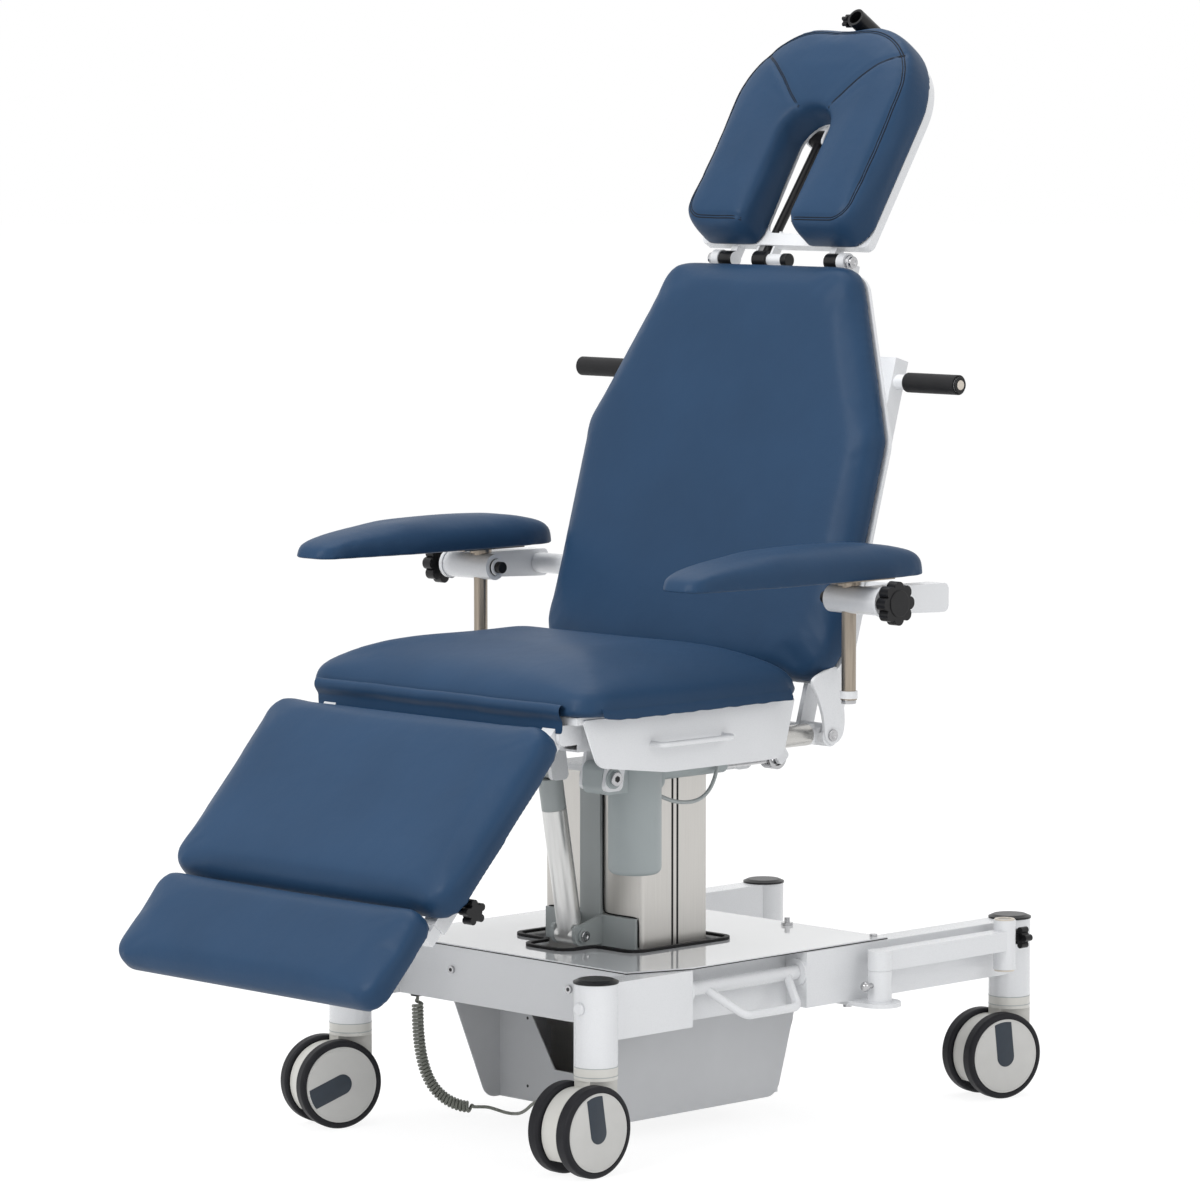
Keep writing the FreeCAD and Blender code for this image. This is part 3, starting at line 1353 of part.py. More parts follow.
grip = pipe((push_grip_start, push_bar_station, -push_bar_depth),
            (push_grip_end, push_bar_station, -push_bar_depth),
            push_grip_radius, push_bar_radius + run_gap)
nodes["push_grips"] = on_slope(both_sides(grip), back_slope, back_y, back_z)
back_points = [(-back_half_width, back_low), (back_half_width, back_low), (back_half_width, back_shoulder),
               (back_top_half, back_top), (-back_top_half, back_top), (-back_half_width, back_shoulder)]
back_radii = [back_low_round, back_low_round, back_shoulder_round, back_top_round, back_top_round,
              back_shoulder_round]
shell = slab(back_points, back_radii, frame_front, -back_pad_depth)
nodes["back_shell"] = on_slope(shell, back_slope, back_y, back_z)
back_edge = back_pad_depth - back_crown
back_pad = pad(back_points, back_radii, back_edge, back_crown, back_draw)
back_pad.translate(Vector(0, 0, -back_pad_depth))
nodes["back_pad"] = on_slope(back_pad, back_slope, back_y, back_z)

# Headrest: horseshoe pad, flanged backing plate on two hinge arms, strut and accessory tube
head_points = [(-head_half_width, head_low), (-slot_half_low, head_low), (-slot_half_high, slot_top),
               (slot_half_high, slot_top), (slot_half_low, head_low), (head_half_width, head_low),
               (head_half_width, head_top), (-head_half_width, head_top)]
head_radii = [head_lobe_round, slot_lip, slot_round, slot_round, slot_lip, head_lobe_round, head_arch,
              head_arch]
head_edge = head_pad_depth - head_crown
head_pad = pad(head_points, head_radii, head_edge, head_crown, head_draw)
head_pad.translate(Vector(0, 0, -head_pad_depth))
nodes["head_pad"] = on_slope(head_pad, head_slope, head_y, head_z)
shaft_s, shaft_n = slope_point(head_hinge_y, head_hinge_z, head_slope, head_y, head_z)
plate_rear_n = -head_pad_depth - head_plate_thickness
flange_rear_n = -head_pad_depth - head_flange
plate_low = head_low - head_plate_drop
plate_points = [(-head_half_width, plate_low), (head_half_width, plate_low), (head_half_width, head_top),
                (-head_half_width, head_top)]
plate_radii = [head_plate_corner, head_plate_corner, head_arch, head_arch]
window_points = [(-slot_half_low, plate_low + head_plate_bar), (slot_half_low, plate_low + head_plate_bar),
                 (slot_half_high, slot_top), (-slot_half_high, slot_top)]
window_radii = [head_plate_corner, head_plate_corner, slot_round, slot_round]
plate_outer = Part.Face(rounded_wire(plate_points, plate_radii, head_plate_margin, flange_rear_n))
plate_inner = Part.Face(rounded_wire(plate_points, plate_radii, head_plate_margin + head_plate_thickness,
                                     flange_rear_n))
plate_window = Part.Face(rounded_wire(window_points, window_radii, -head_slot_margin, flange_rear_n))
head_backing = plate_outer.extrude(Vector(0, 0, head_flange))
head_backing = head_backing.cut(plate_inner.extrude(Vector(0, 0, head_flange - head_plate_thickness)))
head_backing = head_backing.cut(plate_window.extrude(Vector(0, 0, head_flange + overrun)))
cheek_in = strut_eye_radius + touch_gap
cheek_out = cheek_in + head_plate_thickness
head_backing = head_backing.cut(box(strut_x - cheek_in, strut_x + cheek_in, plate_low - overrun,
                                    plate_low + head_plate_bar, flange_rear_n - overrun,
                                    plate_rear_n + head_plate_thickness / 4))
shaft = rod((strut_x - cheek_out, shaft_s, shaft_n), (strut_shaft_end, shaft_s, shaft_n), head_shaft_radius)
shaft_cheek = box(cheek_in, cheek_out, shaft_s, plate_low + head_plate_bar, shaft_n - head_shaft_radius,
                  plate_rear_n)
head_bush = rod((head_arm_x, shaft_s, shaft_n), (head_ear_x - touch_gap, shaft_s, shaft_n), head_bush_radius)
head_pin = rod((head_arm_x, shaft_s, shaft_n), (ear_x1 + bolt_head, shaft_s, shaft_n), head_pin_radius)
pin_cap = rod((ear_x1 + touch_gap, shaft_s, shaft_n), (ear_x1 + bolt_head, shaft_s, shaft_n),
              bolt_head_radius)
head_arm = box(head_arm_x, head_arm_x + head_arm_width, shaft_s, head_low + head_arm_reach,
               shaft_n - head_shaft_radius, plate_rear_n)
head_one = [head_bush, head_pin, pin_cap, head_arm]
neck_top = holder_tube_s - holder_tube_radius - touch_gap
neck_plate = box(-strut_eye_radius, strut_eye_radius, slot_top + slot_round / 2, neck_top,
                 plate_rear_n - head_plate_thickness, plate_rear_n)
strut_pin = rod((-strut_eye_radius, strut_top_s, strut_top_n), (strut_eye_radius, strut_top_s, strut_top_n),
                head_pin_radius)
strut_pin.translate(Vector(strut_x, 0, 0))
strut_cheek_points = [(strut_top_s - strut_eye_radius, strut_top_n - strut_eye_radius),
                      (slot_top + slot_round, strut_top_n - strut_eye_radius),
                      (slot_top + slot_round, plate_rear_n - weld_depth),
                      (strut_top_s - strut_eye_radius, plate_rear_n - weld_depth)]
strut_cheek = side_plate(strut_cheek_points, [strut_radius] * len(strut_cheek_points), strut_eye_radius,
                         strut_eye_radius + head_plate_thickness)
cheek_bridge = box(-strut_eye_radius, strut_eye_radius, slot_top + slot_round / 2, slot_top + slot_round,
                   strut_top_n, plate_rear_n)
cheek_one = [shaft_cheek, strut_cheek]
cheeks = [cheek_bridge] + cheek_one + [mirrored(piece) for piece in cheek_one]
for piece in cheeks:
    piece.translate(Vector(strut_x, 0, 0))
head_frame = fuse([head_backing, shaft, neck_plate, strut_pin] + cheeks + head_one
                  + [mirrored(piece) for piece in head_one])
nodes["head_frame"] = on_slope(head_frame, head_slope, head_y, head_z)
strut_half = strut_eye_radius - touch_gap
strut = fuse([rod((0, shaft_s, shaft_n), (0, strut_top_s, strut_top_n), strut_radius),
              rod((-strut_half, shaft_s, shaft_n), (strut_half, shaft_s, shaft_n), strut_eye_radius),
              rod((-strut_half, strut_top_s, strut_top_n), (strut_half, strut_top_s, strut_top_n),
                  strut_eye_radius - touch_gap)])
strut = strut.cut(rod((-overrun, shaft_s, shaft_n), (overrun, shaft_s, shaft_n),
                      head_shaft_radius + run_gap))
strut = strut.cut(rod((-overrun, strut_top_s, strut_top_n), (overrun, strut_top_s, strut_top_n),
                      head_pin_radius + run_gap))
strut.translate(Vector(strut_x, 0, 0))
nodes["head_strut"] = on_slope(strut, head_slope, head_y, head_z)
holder_tube = pipe((holder_tube_x, holder_tube_s, holder_tube_rear),
                   (holder_tube_x, holder_tube_s, holder_tube_front),
                   holder_tube_radius, holder_tube_bore)
holder_foot = box(-strut_eye_radius, strut_eye_radius, head_top + touch_gap, holder_tube_s, plate_rear_n,
                  -head_pad_depth)
holder_foot = holder_foot.cut(rod((holder_tube_x, holder_tube_s, holder_tube_rear - overrun),
                                  (holder_tube_x, holder_tube_s, overrun), holder_tube_bore))
side_hole_n = holder_tube_front - head_knob_radius
holder_tube = fuse([holder_tube, holder_foot])
holder_tube = holder_tube.cut(rod((holder_tube_x, holder_tube_s, side_hole_n),
                                  (holder_tube_x - overrun, holder_tube_s, side_hole_n),
                                  clamp_hole_radius))
nodes["accessory_tube"] = on_slope(holder_tube, head_slope, head_y, head_z)
head_knob = star_knob(head_knob_radius, head_knob_depth, small_knob_lobes,
                      bush_height, bush_height - touch_gap)
head_knob.rotate(Vector(0, 0, 0), Vector(0, 1, 0), -90)
head_knob.translate(Vector(holder_tube_x - holder_tube_radius - touch_gap, holder_tube_s, side_hole_n))
nodes["head_knob"] = on_slope(head_knob, head_slope, head_y, head_z)

# Leg rest, built flat on its slope
knee_s, knee_n = slope_point(knee_y, knee_z, leg_slope, leg_y, leg_z)
rail_face = -leg_pad_depth - leg_board
rail_back = rail_face - leg_rail_size
leg_rail = box(leg_rail_x - leg_rail_size / 2, leg_rail_x + leg_rail_size / 2, leg_low, knee_s, rail_back,
               rail_face)
leg_eye = rod((leg_rail_x - leg_rail_size / 2, knee_s, knee_n),
              (leg_rail_x + leg_rail_size / 2, knee_s, knee_n), knee_radius)
leg_rail = fuse([leg_rail, leg_eye])
bar_half = leg_rail_size / 2 - leg_rail_wall
rail_mid = (rail_face + rail_back) / 2
rail_bore_end = foot_bar_top + overrun
leg_rail = leg_rail.cut(box(leg_rail_x - bar_half, leg_rail_x + bar_half, leg_low - overrun, rail_bore_end,
                            rail_mid - bar_half, rail_mid + bar_half))
leg_rail = leg_rail.cut(rod((leg_rail_x - overrun, knee_s, knee_n), (leg_rail_x + overrun, knee_s, knee_n),
                            knee_pin_radius + run_gap))
leg_inner = leg_rail_x - leg_rail_size / 2
leg_crosses = [bar(-leg_inner, leg_inner, s, s + leg_cross, rail_back, rail_face, leg_rail_wall, "x")
               for s in (leg_cross_low, leg_cross_high)]
leg_plate = box(-leg_half_width + leg_board_margin, leg_half_width - leg_board_margin,
                leg_low + leg_board_margin,
                leg_top - leg_board_margin, rail_face, -leg_pad_depth)
knob_side = leg_rail_x + leg_rail_size / 2
leg_frame = fuse([leg_rail, mirrored(leg_rail), leg_plate] + leg_crosses)
leg_frame = leg_frame.cut(rod((leg_rail_x, foot_knob_station, rail_mid),
                              (knob_side + overrun, foot_knob_station, rail_mid),
                              clamp_hole_radius))
nodes["leg_frame"] = on_slope(leg_frame, leg_slope, leg_y, leg_z)
leg_points = [(-leg_half_width, leg_low), (leg_half_width, leg_low), (leg_half_width, leg_top),
              (-leg_half_width, leg_top)]
leg_pad = pad(leg_points, [leg_round] * len(leg_points), leg_pad_depth - leg_crown, leg_crown, leg_draw)
leg_pad.translate(Vector(0, 0, -leg_pad_depth))
nodes["leg_pad"] = on_slope(leg_pad, leg_slope, leg_y, leg_z)

# Foot rest on two bars that slide in the leg rails
slide_half = bar_half - foot_bar_gap
foot_bar = box(leg_rail_x - slide_half, leg_rail_x + slide_half, foot_top - foot_bar_root, foot_bar_top,
               rail_mid - slide_half, rail_mid + slide_half)
foot_base = foot_proud - foot_pad_depth
foot_top_plate = box(-foot_half_width + foot_plate_margin, foot_half_width - foot_plate_margin,
                     foot_low + foot_plate_margin, foot_top - foot_plate_top_margin, foot_base - foot_plate,
                     foot_base)
foot_rib = box(leg_rail_x - slide_half, leg_rail_x + slide_half, foot_top - foot_bar_root,
               foot_top - foot_plate_top_margin, rail_mid, foot_base - foot_plate)
nodes["foot_frame"] = on_slope(fuse([foot_bar, mirrored(foot_bar), foot_top_plate, foot_rib,
                                     mirrored(foot_rib)]),
                               leg_slope, leg_y, leg_z)
foot_points = [(-foot_half_width, foot_low), (foot_half_width, foot_low), (foot_half_width, foot_top),
               (-foot_half_width, foot_top)]
foot_pad = pad(foot_points, [foot_round] * len(foot_points), foot_pad_depth - foot_crown, foot_crown,
               foot_draw)
foot_pad.translate(Vector(0, 0, foot_base))
nodes["foot_pad"] = on_slope(foot_pad, leg_slope, leg_y, leg_z)
foot_knob = star_knob(foot_knob_radius, foot_knob_depth, small_knob_lobes, foot_knob_neck,
                      leg_rail_wall - touch_gap)
foot_knob = turned(foot_knob, "x", (knob_side + touch_gap, foot_knob_station, rail_mid))
nodes["foot_knob"] = on_slope(foot_knob, leg_slope, leg_y, leg_z)

# Armrests: swinging arm with a clamp tube, post, pad and clamp knob
back_cos = math.cos(math.radians(back_slope))
back_sin = math.sin(math.radians(back_slope))
axle_y = back_y + arm_axle_station * back_cos + arm_axle_depth * back_sin
axle_z = back_z + arm_axle_station * back_sin - arm_axle_depth * back_cos
arm_outer = arm_inner + arm_width
clamp = rod((clamp_inner, post_y, clamp_z), (clamp_outer, post_y, clamp_z), clamp_radius)
clamp_end = rod((clamp_outer, post_y, clamp_z), (clamp_outer + clamp_flange, post_y, clamp_z),
                clamp_flange_radius)
clamp_nose = rod((clamp_inner - clamp_plug, post_y, clamp_z), (clamp_inner, post_y, clamp_z),
                 clamp_plug_radius)
half_arm = arm_height / 2
arm_points = [(post_y, clamp_z - half_arm + arm_taper), (axle_y, axle_z - half_arm),
              (axle_y + half_arm, axle_z - half_arm),
              (axle_y + half_arm, axle_z + half_arm), (axle_y, axle_z + half_arm),
              (post_y, clamp_z + half_arm - arm_taper)]
arm_radii = [edge_round, edge_round, half_arm, half_arm, edge_round, edge_round]
arm_beam = side_plate(arm_points, arm_radii, arm_inner, arm_outer)
arm = fuse([clamp, clamp_end, clamp_nose, arm_beam])
arm = arm.cut(rod((post_x, post_y, clamp_z - overrun), (post_x, post_y, clamp_z + overrun),
                  post_radius + run_gap))
arm = arm.cut(rod((arm_inner - overrun, axle_y, axle_z), (arm_outer - arm_skin + touch_gap, axle_y, axle_z),
                  arm_pivot_radius + run_gap))
knob_seat = clamp_outer + clamp_flange
arm = arm.cut(rod((knob_seat - bush_height, post_y, clamp_z), (knob_seat + overrun, post_y, clamp_z),
                  clamp_hole_radius))
post_top = arm_pad_low - arm_plate
post = rod((post_x, post_y, post_low), (post_x, post_y, post_top), post_radius)
post_bush = rod((post_x, post_y, clamp_z + clamp_radius + touch_gap), (post_x, post_y, post_top),
                post_bush_radius)
post_foot = rod((post_x, post_y, post_low - post_cap), (post_x, post_y, post_low), post_cap_radius)
pad_plate = box(post_x - arm_plate_half_width, post_x + arm_plate_half_width,
                post_y - arm_plate_half_length,
                post_y + arm_plate_half_length, post_top, arm_pad_low)
arm_post = fuse([post, post_bush, post_foot, pad_plate])
nose_y = post_y - arm_pad_front
tail_y = post_y + arm_pad_rear
belly = [post_y - arm_belly_front, post_y + arm_belly_rear]
pad_half = [(nose_y, arm_nose_half_width), (belly[0], arm_pad_half_width), (belly[1], arm_pad_half_width),
            (tail_y, arm_tail_half_width)]
pad_points = [(post_x + half, y) for y, half in pad_half] + [(post_x - half, y) for y, half in pad_half[::-1]]
pad_radii = [arm_nose_round, arm_side_round, arm_side_round, arm_tail_round]
arm_pad = pad(pad_points, pad_radii + pad_radii[::-1], arm_pad_edge, arm_pad_crown, arm_pad_draw)
arm_pad.translate(Vector(0, 0, arm_pad_low))
pad_top = arm_pad_low + arm_pad_edge + arm_pad_crown
boat_points = [(nose_y, arm_pad_low), (tail_y, arm_pad_low), (tail_y, arm_pad_low + arm_tail_depth),
               (belly[1], pad_top), (belly[0], pad_top), (nose_y, arm_pad_low + arm_nose_depth)]
boat_radii = [arm_end_round, arm_end_round, arm_end_round, arm_back_round, arm_back_round, arm_end_round]
boat = side_plate(boat_points, boat_radii, post_x - arm_pad_half_width, post_x + arm_pad_half_width)
arm_pad = arm_pad.common(boat)
arm_knob = star_knob(large_knob_radius, large_knob_depth, large_knob_lobes, arm_knob_gap,
                     bush_height - touch_gap)
arm_knob = turned(arm_knob, "x", (knob_seat + touch_gap, post_y, clamp_z))
for node, shape in (("arm", arm), ("arm_post", arm_post), ("arm_pad", arm_pad), ("arm_knob", arm_knob)):
    nodes[node + "_right"] = shape
    nodes[node + "_left"] = mirrored(shape)

# Curly cord: gland under the front leg, coil and thin tail to a gland on the tray wall
gland_top = rod((coil_route[0][0], coil_route[0][1], rail_bottom - gland_height),
                (coil_route[0][0], coil_route[0][1], rail_bottom), gland_radius)
tray_gland_at = tail_route[-1]
tray_gland = rod((tray_gland_at[0], tray_wall - gland_height, tray_gland_at[2]),
                 (tray_gland_at[0], tray_wall, tray_gland_at[2]),
                 gland_radius / 2)
nodes["cord_glands"] = Part.makeCompound([gland_top, tray_gland])
curls = curl_edges(rod_path(coil_route, cord_radii(coil_route)))
curl_start = Vector(*coil_route[0])
curl_way = Vector(*coil_route[1]) - curl_start
curl_ring = Part.Wire([Part.makeCircle(wire_radius, curl_start, curl_way)])
nodes["cord_coil"] = Part.Wire(curls).makePipeShell([curl_ring], True, False)
print("curls", len(curls), "edges, least gap", round(self_gap(curls, wire_radius), 2))
nodes["cord_tail"] = bent_rod(tail_route, cord_radii(tail_route), wire_radius)
for name, route in (("coil", coil_route), ("tail", tail_route)):
    print(name, "radii", [round(r, 1) for r in cord_radii(route)])

# Move the origin to the middle of the footprint on the floor and write each piece
os.makedirs("parts", exist_ok=True)
whole = FreeCAD.BoundBox()
for node, shape in nodes.items():
    shape.translate(Vector(0, -chair_middle_y, 0))
    whole.add(shape.optimalBoundingBox())
    shape.exportStep("parts/" + node + ".step")
    if not shape.isValid():
        print("check", node, "is not valid")
print(len(nodes), "pieces, box", whole)
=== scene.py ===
import bpy
import json
import math
from mathutils import Matrix, Vector


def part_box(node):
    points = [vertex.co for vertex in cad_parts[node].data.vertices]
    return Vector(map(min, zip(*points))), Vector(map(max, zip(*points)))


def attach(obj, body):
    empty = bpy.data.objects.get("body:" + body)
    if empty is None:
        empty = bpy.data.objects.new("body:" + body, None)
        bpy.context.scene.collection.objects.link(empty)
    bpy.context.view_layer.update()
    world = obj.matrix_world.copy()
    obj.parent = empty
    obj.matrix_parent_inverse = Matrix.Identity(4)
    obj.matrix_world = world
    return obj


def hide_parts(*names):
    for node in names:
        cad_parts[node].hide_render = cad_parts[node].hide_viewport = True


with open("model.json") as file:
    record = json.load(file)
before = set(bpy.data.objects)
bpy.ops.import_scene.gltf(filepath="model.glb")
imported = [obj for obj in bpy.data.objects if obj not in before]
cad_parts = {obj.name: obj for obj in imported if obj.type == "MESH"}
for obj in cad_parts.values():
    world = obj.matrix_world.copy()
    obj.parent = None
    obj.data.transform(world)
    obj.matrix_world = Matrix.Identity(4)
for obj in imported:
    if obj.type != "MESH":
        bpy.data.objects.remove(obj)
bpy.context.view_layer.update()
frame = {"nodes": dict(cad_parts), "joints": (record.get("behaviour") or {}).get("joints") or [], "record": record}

nodes = frame["nodes"]
scene = bpy.context.scene
datumY = 0.15395  # the chair's own stations along Y start this far behind the row frame's origin
print("frame loaded:", len(nodes), "nodes")


# small helpers
def deselectAll():
    for item in list(bpy.context.selected_objects):
        item.select_set(False)
    bpy.context.view_layer.objects.active = None


def activate(obj):
    deselectAll()
    obj.select_set(True)
    bpy.context.view_layer.objects.active = obj


def settle(obj):
    activate(obj)
    bpy.ops.object.transform_apply(location=True, rotation=True, scale=True)


def applyModifier(obj, modifier):
    activate(obj)
    bpy.ops.object.modifier_apply(modifier=modifier.name)


def softenEdges(obj, width, segments=3, angle=35):
    bevel = obj.modifiers.new("edge", "BEVEL")
    bevel.width = width
    bevel.segments = segments
    bevel.limit_method = "ANGLE"
    bevel.angle_limit = math.radians(angle)
    applyModifier(obj, bevel)


def smooth(obj, angle=35):
    activate(obj)
    bpy.ops.object.shade_smooth_by_angle(angle=math.radians(angle))


def faceOutward(obj, weld=0.0):
    activate(obj)
    bpy.ops.object.mode_set(mode="EDIT")
    bpy.ops.mesh.select_all(action="SELECT")
    if weld:
        bpy.ops.mesh.remove_doubles(threshold=weld)
    bpy.ops.mesh.normals_make_consistent(inside=False)
    bpy.ops.object.mode_set(mode="OBJECT")


def extrudeAll(obj, move):
    activate(obj)
    bpy.ops.object.mode_set(mode="EDIT")
    bpy.ops.mesh.select_all(action="SELECT")
    bpy.ops.mesh.extrude_region_move(TRANSFORM_OT_translate=dict(value=move))
    bpy.ops.object.mode_set(mode="OBJECT")
    faceOutward(obj)


def thicken(obj, thickness, offset=0):
    wall = obj.modifiers.new("wall", "SOLIDIFY")
    wall.thickness = thickness
    wall.offset = offset
    applyModifier(obj, wall)


def subdivide(obj, levels):
    fine = obj.modifiers.new("fine", "SUBSURF")
    fine.levels = levels
    fine.render_levels = levels
    applyModifier(obj, fine)


def curveToMesh(obj):
    activate(obj)
    bpy.ops.object.convert(target="MESH")
    return bpy.context.active_object


def clamped(value):
    return min(max(value, 0.0), 1.0)


def finishPiece(obj, material, body):
    obj.data.materials.clear()
    obj.data.materials.append(material)
    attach(obj, body)
    return obj


def roundBar(name, centre, axis, radius, depth, sides=48):
    deselectAll()
    turn = Vector(axis).to_track_quat("Z", "Y").to_euler()
    bpy.ops.mesh.primitive_cylinder_add(vertices=sides, radius=radius, depth=depth, location=centre, rotation=turn)
    obj = bpy.context.active_object
    obj.name = name
    settle(obj)
    return obj


def facesByNormal(obj, direction, least=0.9):
    bpy.ops.object.mode_set(mode="EDIT")
    bpy.ops.mesh.select_mode(type="FACE")
    bpy.ops.mesh.select_all(action="DESELECT")
    bpy.ops.object.mode_set(mode="OBJECT")
    for face in obj.data.polygons:
        face.select = face.normal.dot(direction) > least
    bpy.ops.object.mode_set(mode="EDIT")


# materials
def newMaterial(name):
    material = bpy.data.materials.new(name)
    material.use_nodes = True
    tree = material.node_tree
    shader = tree.nodes["Principled BSDF"]
    return material, tree, shader


def objectSpace(tree, stretch=(1, 1, 1), turn=(0, 0, 0)):
    coords = tree.nodes.new("ShaderNodeTexCoord")
    mapping = tree.nodes.new("ShaderNodeMapping")
    mapping.inputs["Scale"].default_value = stretch
    mapping.inputs["Rotation"].default_value = turn
    tree.links.new(coords.outputs["Object"], mapping.inputs["Vector"])
    return mapping.outputs["Vector"]


def noise(tree, vector, scale, detail=4.0, roughness=0.55):
    node = tree.nodes.new("ShaderNodeTexNoise")
    node.inputs["Scale"].default_value = scale
    node.inputs["Detail"].default_value = detail
    node.inputs["Roughness"].default_value = roughness
    tree.links.new(vector, node.inputs["Vector"])
    return node.outputs["Fac"]


def cells(tree, vector, scale):
    node = tree.nodes.new("ShaderNodeTexVoronoi")
    node.feature = "SMOOTH_F1"
    node.inputs["Scale"].default_value = scale
    node.inputs["Smoothness"].default_value = 0.6
    tree.links.new(vector, node.inputs["Vector"])
    return node.outputs["Distance"]


def spread(tree, value, low, high, fromLow=0.3, fromHigh=0.7):
    node = tree.nodes.new("ShaderNodeMapRange")
    node.inputs["From Min"].default_value = fromLow
    node.inputs["From Max"].default_value = fromHigh
    node.inputs["To Min"].default_value = low
    node.inputs["To Max"].default_value = high
    tree.links.new(value, node.inputs["Value"])
    return node.outputs["Result"]


def tinted(tree, value, colour, amount):
    ramp = tree.nodes.new("ShaderNodeValToRGB")
    ramp.color_ramp.elements[0].position = 0.3
    ramp.color_ramp.elements[1].position = 0.7
    ramp.color_ramp.elements[0].color = [c * (1 - amount) for c in colour] + [1]
    ramp.color_ramp.elements[1].color = [min(1, c * (1 + amount)) for c in colour] + [1]
    tree.links.new(value, ramp.inputs["Fac"])
    return ramp.outputs["Color"]


def bumped(tree, shader, heights):
    normal = None
    for height, distance in heights:
        node = tree.nodes.new("ShaderNodeBump")
        node.inputs["Strength"].default_value = 1.0
        node.inputs["Distance"].default_value = distance
        tree.links.new(height, node.inputs["Height"])
        if normal is not None:
            tree.links.new(normal, node.inputs["Normal"])
        normal = node.outputs["Normal"]
    tree.links.new(normal, shader.inputs["Normal"])


def surface(name, look):
    material, tree, shader = newMaterial(name)
    space = objectSpace(tree, look.get("stretch", (1, 1, 1)), look.get("turn", (0, 0, 0)))
    cloud = noise(tree, space, look["cloudScale"], 3.0)
    grain = noise(tree, space, look["grainScale"], 5.0)
    tree.links.new(tinted(tree, cloud, look["colour"], look["vary"]), shader.inputs["Base Color"])
    low, high = look["rough"]
    tree.links.new(spread(tree, grain, low, high), shader.inputs["Roughness"])
    shader.inputs["Metallic"].default_value = look.get("metallic", 0.0)
    shader.inputs["Coat Weight"].default_value = look.get("coat", 0.0)
    shader.inputs["Coat Roughness"].default_value = look.get("coatRough", 0.12)
    shader.inputs["Specular IOR Level"].default_value = look.get("specular", 0.5)
    heights = [(grain, look["grainDepth"])]
    if "peelDepth" in look:
        heights.append((noise(tree, space, look["peelScale"], 2.0), look["peelDepth"]))
    bumped(tree, shader, heights)
    return material


finishes = {
    "white_paint": dict(colour=(0.755, 0.765, 0.78), vary=0.015, cloudScale=6, grainScale=900, rough=(0.24, 0.34),
                        grainDepth=0.00002, peelScale=160, peelDepth=0.00006, coat=0.25),
    "cover_white": dict(colour=(0.79, 0.80, 0.815), vary=0.012, cloudScale=5, grainScale=700, rough=(0.05, 0.10),
                        grainDepth=0.000008, coat=0.6, coatRough=0.04),
    "tray_grey": dict(colour=(0.60, 0.61, 0.625), vary=0.03, cloudScale=9, grainScale=800, rough=(0.30, 0.42),
                      grainDepth=0.00003, coat=0.1),
    "stainless": dict(colour=(0.56, 0.545, 0.52), vary=0.035, cloudScale=900, grainScale=2600, rough=(0.30, 0.40),
                      grainDepth=0.000006, metallic=1.0, stretch=(1, 1, 0.012)),
    "tube_steel": dict(colour=(0.52, 0.51, 0.49), vary=0.02, cloudScale=900, grainScale=1500, rough=(0.24, 0.34),
                       grainDepth=0.000006, metallic=1.0, stretch=(1, 0.04, 1)),
    "steel_post": dict(colour=(0.33, 0.285, 0.235), vary=0.22, cloudScale=420, grainScale=900, rough=(0.28, 0.44),
                       grainDepth=0.00002, metallic=1.0, stretch=(1, 1, 0.03)),
    "bright_steel": dict(colour=(0.46, 0.46, 0.47), vary=0.06, cloudScale=90, grainScale=1200, rough=(0.10, 0.20),
                         grainDepth=0.00001, metallic=1.0),
    "aluminium": dict(colour=(0.66, 0.66, 0.65), vary=0.05, cloudScale=300, grainScale=900, rough=(0.28, 0.38),
                      grainDepth=0.00002, metallic=0.85, stretch=(1, 0.05, 0.05)),
    "bracket_grey": dict(colour=(0.38, 0.41, 0.41), vary=0.03, cloudScale=12, grainScale=900, rough=(0.34, 0.46),
                         grainDepth=0.00004),
    "motor_grey": dict(colour=(0.36, 0.40, 0.405), vary=0.03, cloudScale=14, grainScale=1400, rough=(0.42, 0.55),
                       grainDepth=0.00006),
    "castor_shell": dict(colour=(0.66, 0.65, 0.61), vary=0.03, cloudScale=16, grainScale=1200, rough=(0.30, 0.42),
                         grainDepth=0.00003, coat=0.1),
    "castor_wheel": dict(colour=(0.012, 0.012, 0.015), vary=0.15, cloudScale=60, grainScale=1500, rough=(0.46, 0.60),
                         grainDepth=0.00005, specular=0.22),
    "black_plastic": dict(colour=(0.008, 0.008, 0.009), vary=0.15, cloudScale=50, grainScale=1600, rough=(0.28, 0.40),
                          grainDepth=0.00003, specular=0.28),
    "rubber": dict(colour=(0.011, 0.011, 0.012), vary=0.12, cloudScale=50, grainScale=1700, rough=(0.50, 0.64),
                   grainDepth=0.00006, specular=0.22),
    "control_dark": dict(colour=(0.03, 0.032, 0.035), vary=0.12, cloudScale=30, grainScale=1200, rough=(0.5, 0.62),
                         grainDepth=0.00004),
    "cord_grey": dict(colour=(0.25, 0.26, 0.225), vary=0.08, cloudScale=90, grainScale=1800, rough=(0.40, 0.52),
                      grainDepth=0.00002),
    "bush_beige": dict(colour=(0.66, 0.60, 0.52), vary=0.05, cloudScale=90, grainScale=1500, rough=(0.38, 0.5),
                       grainDepth=0.00002),
    "disc_grey": dict(colour=(0.60, 0.595, 0.575), vary=0.02, cloudScale=40, grainScale=2600, rough=(0.36, 0.48),
                      grainDepth=0.00006),
    "inset_navy": dict(colour=(0.014, 0.024, 0.038), vary=0.10, cloudScale=60, grainScale=1800, rough=(0.42, 0.52),
                       grainDepth=0.00003),
}


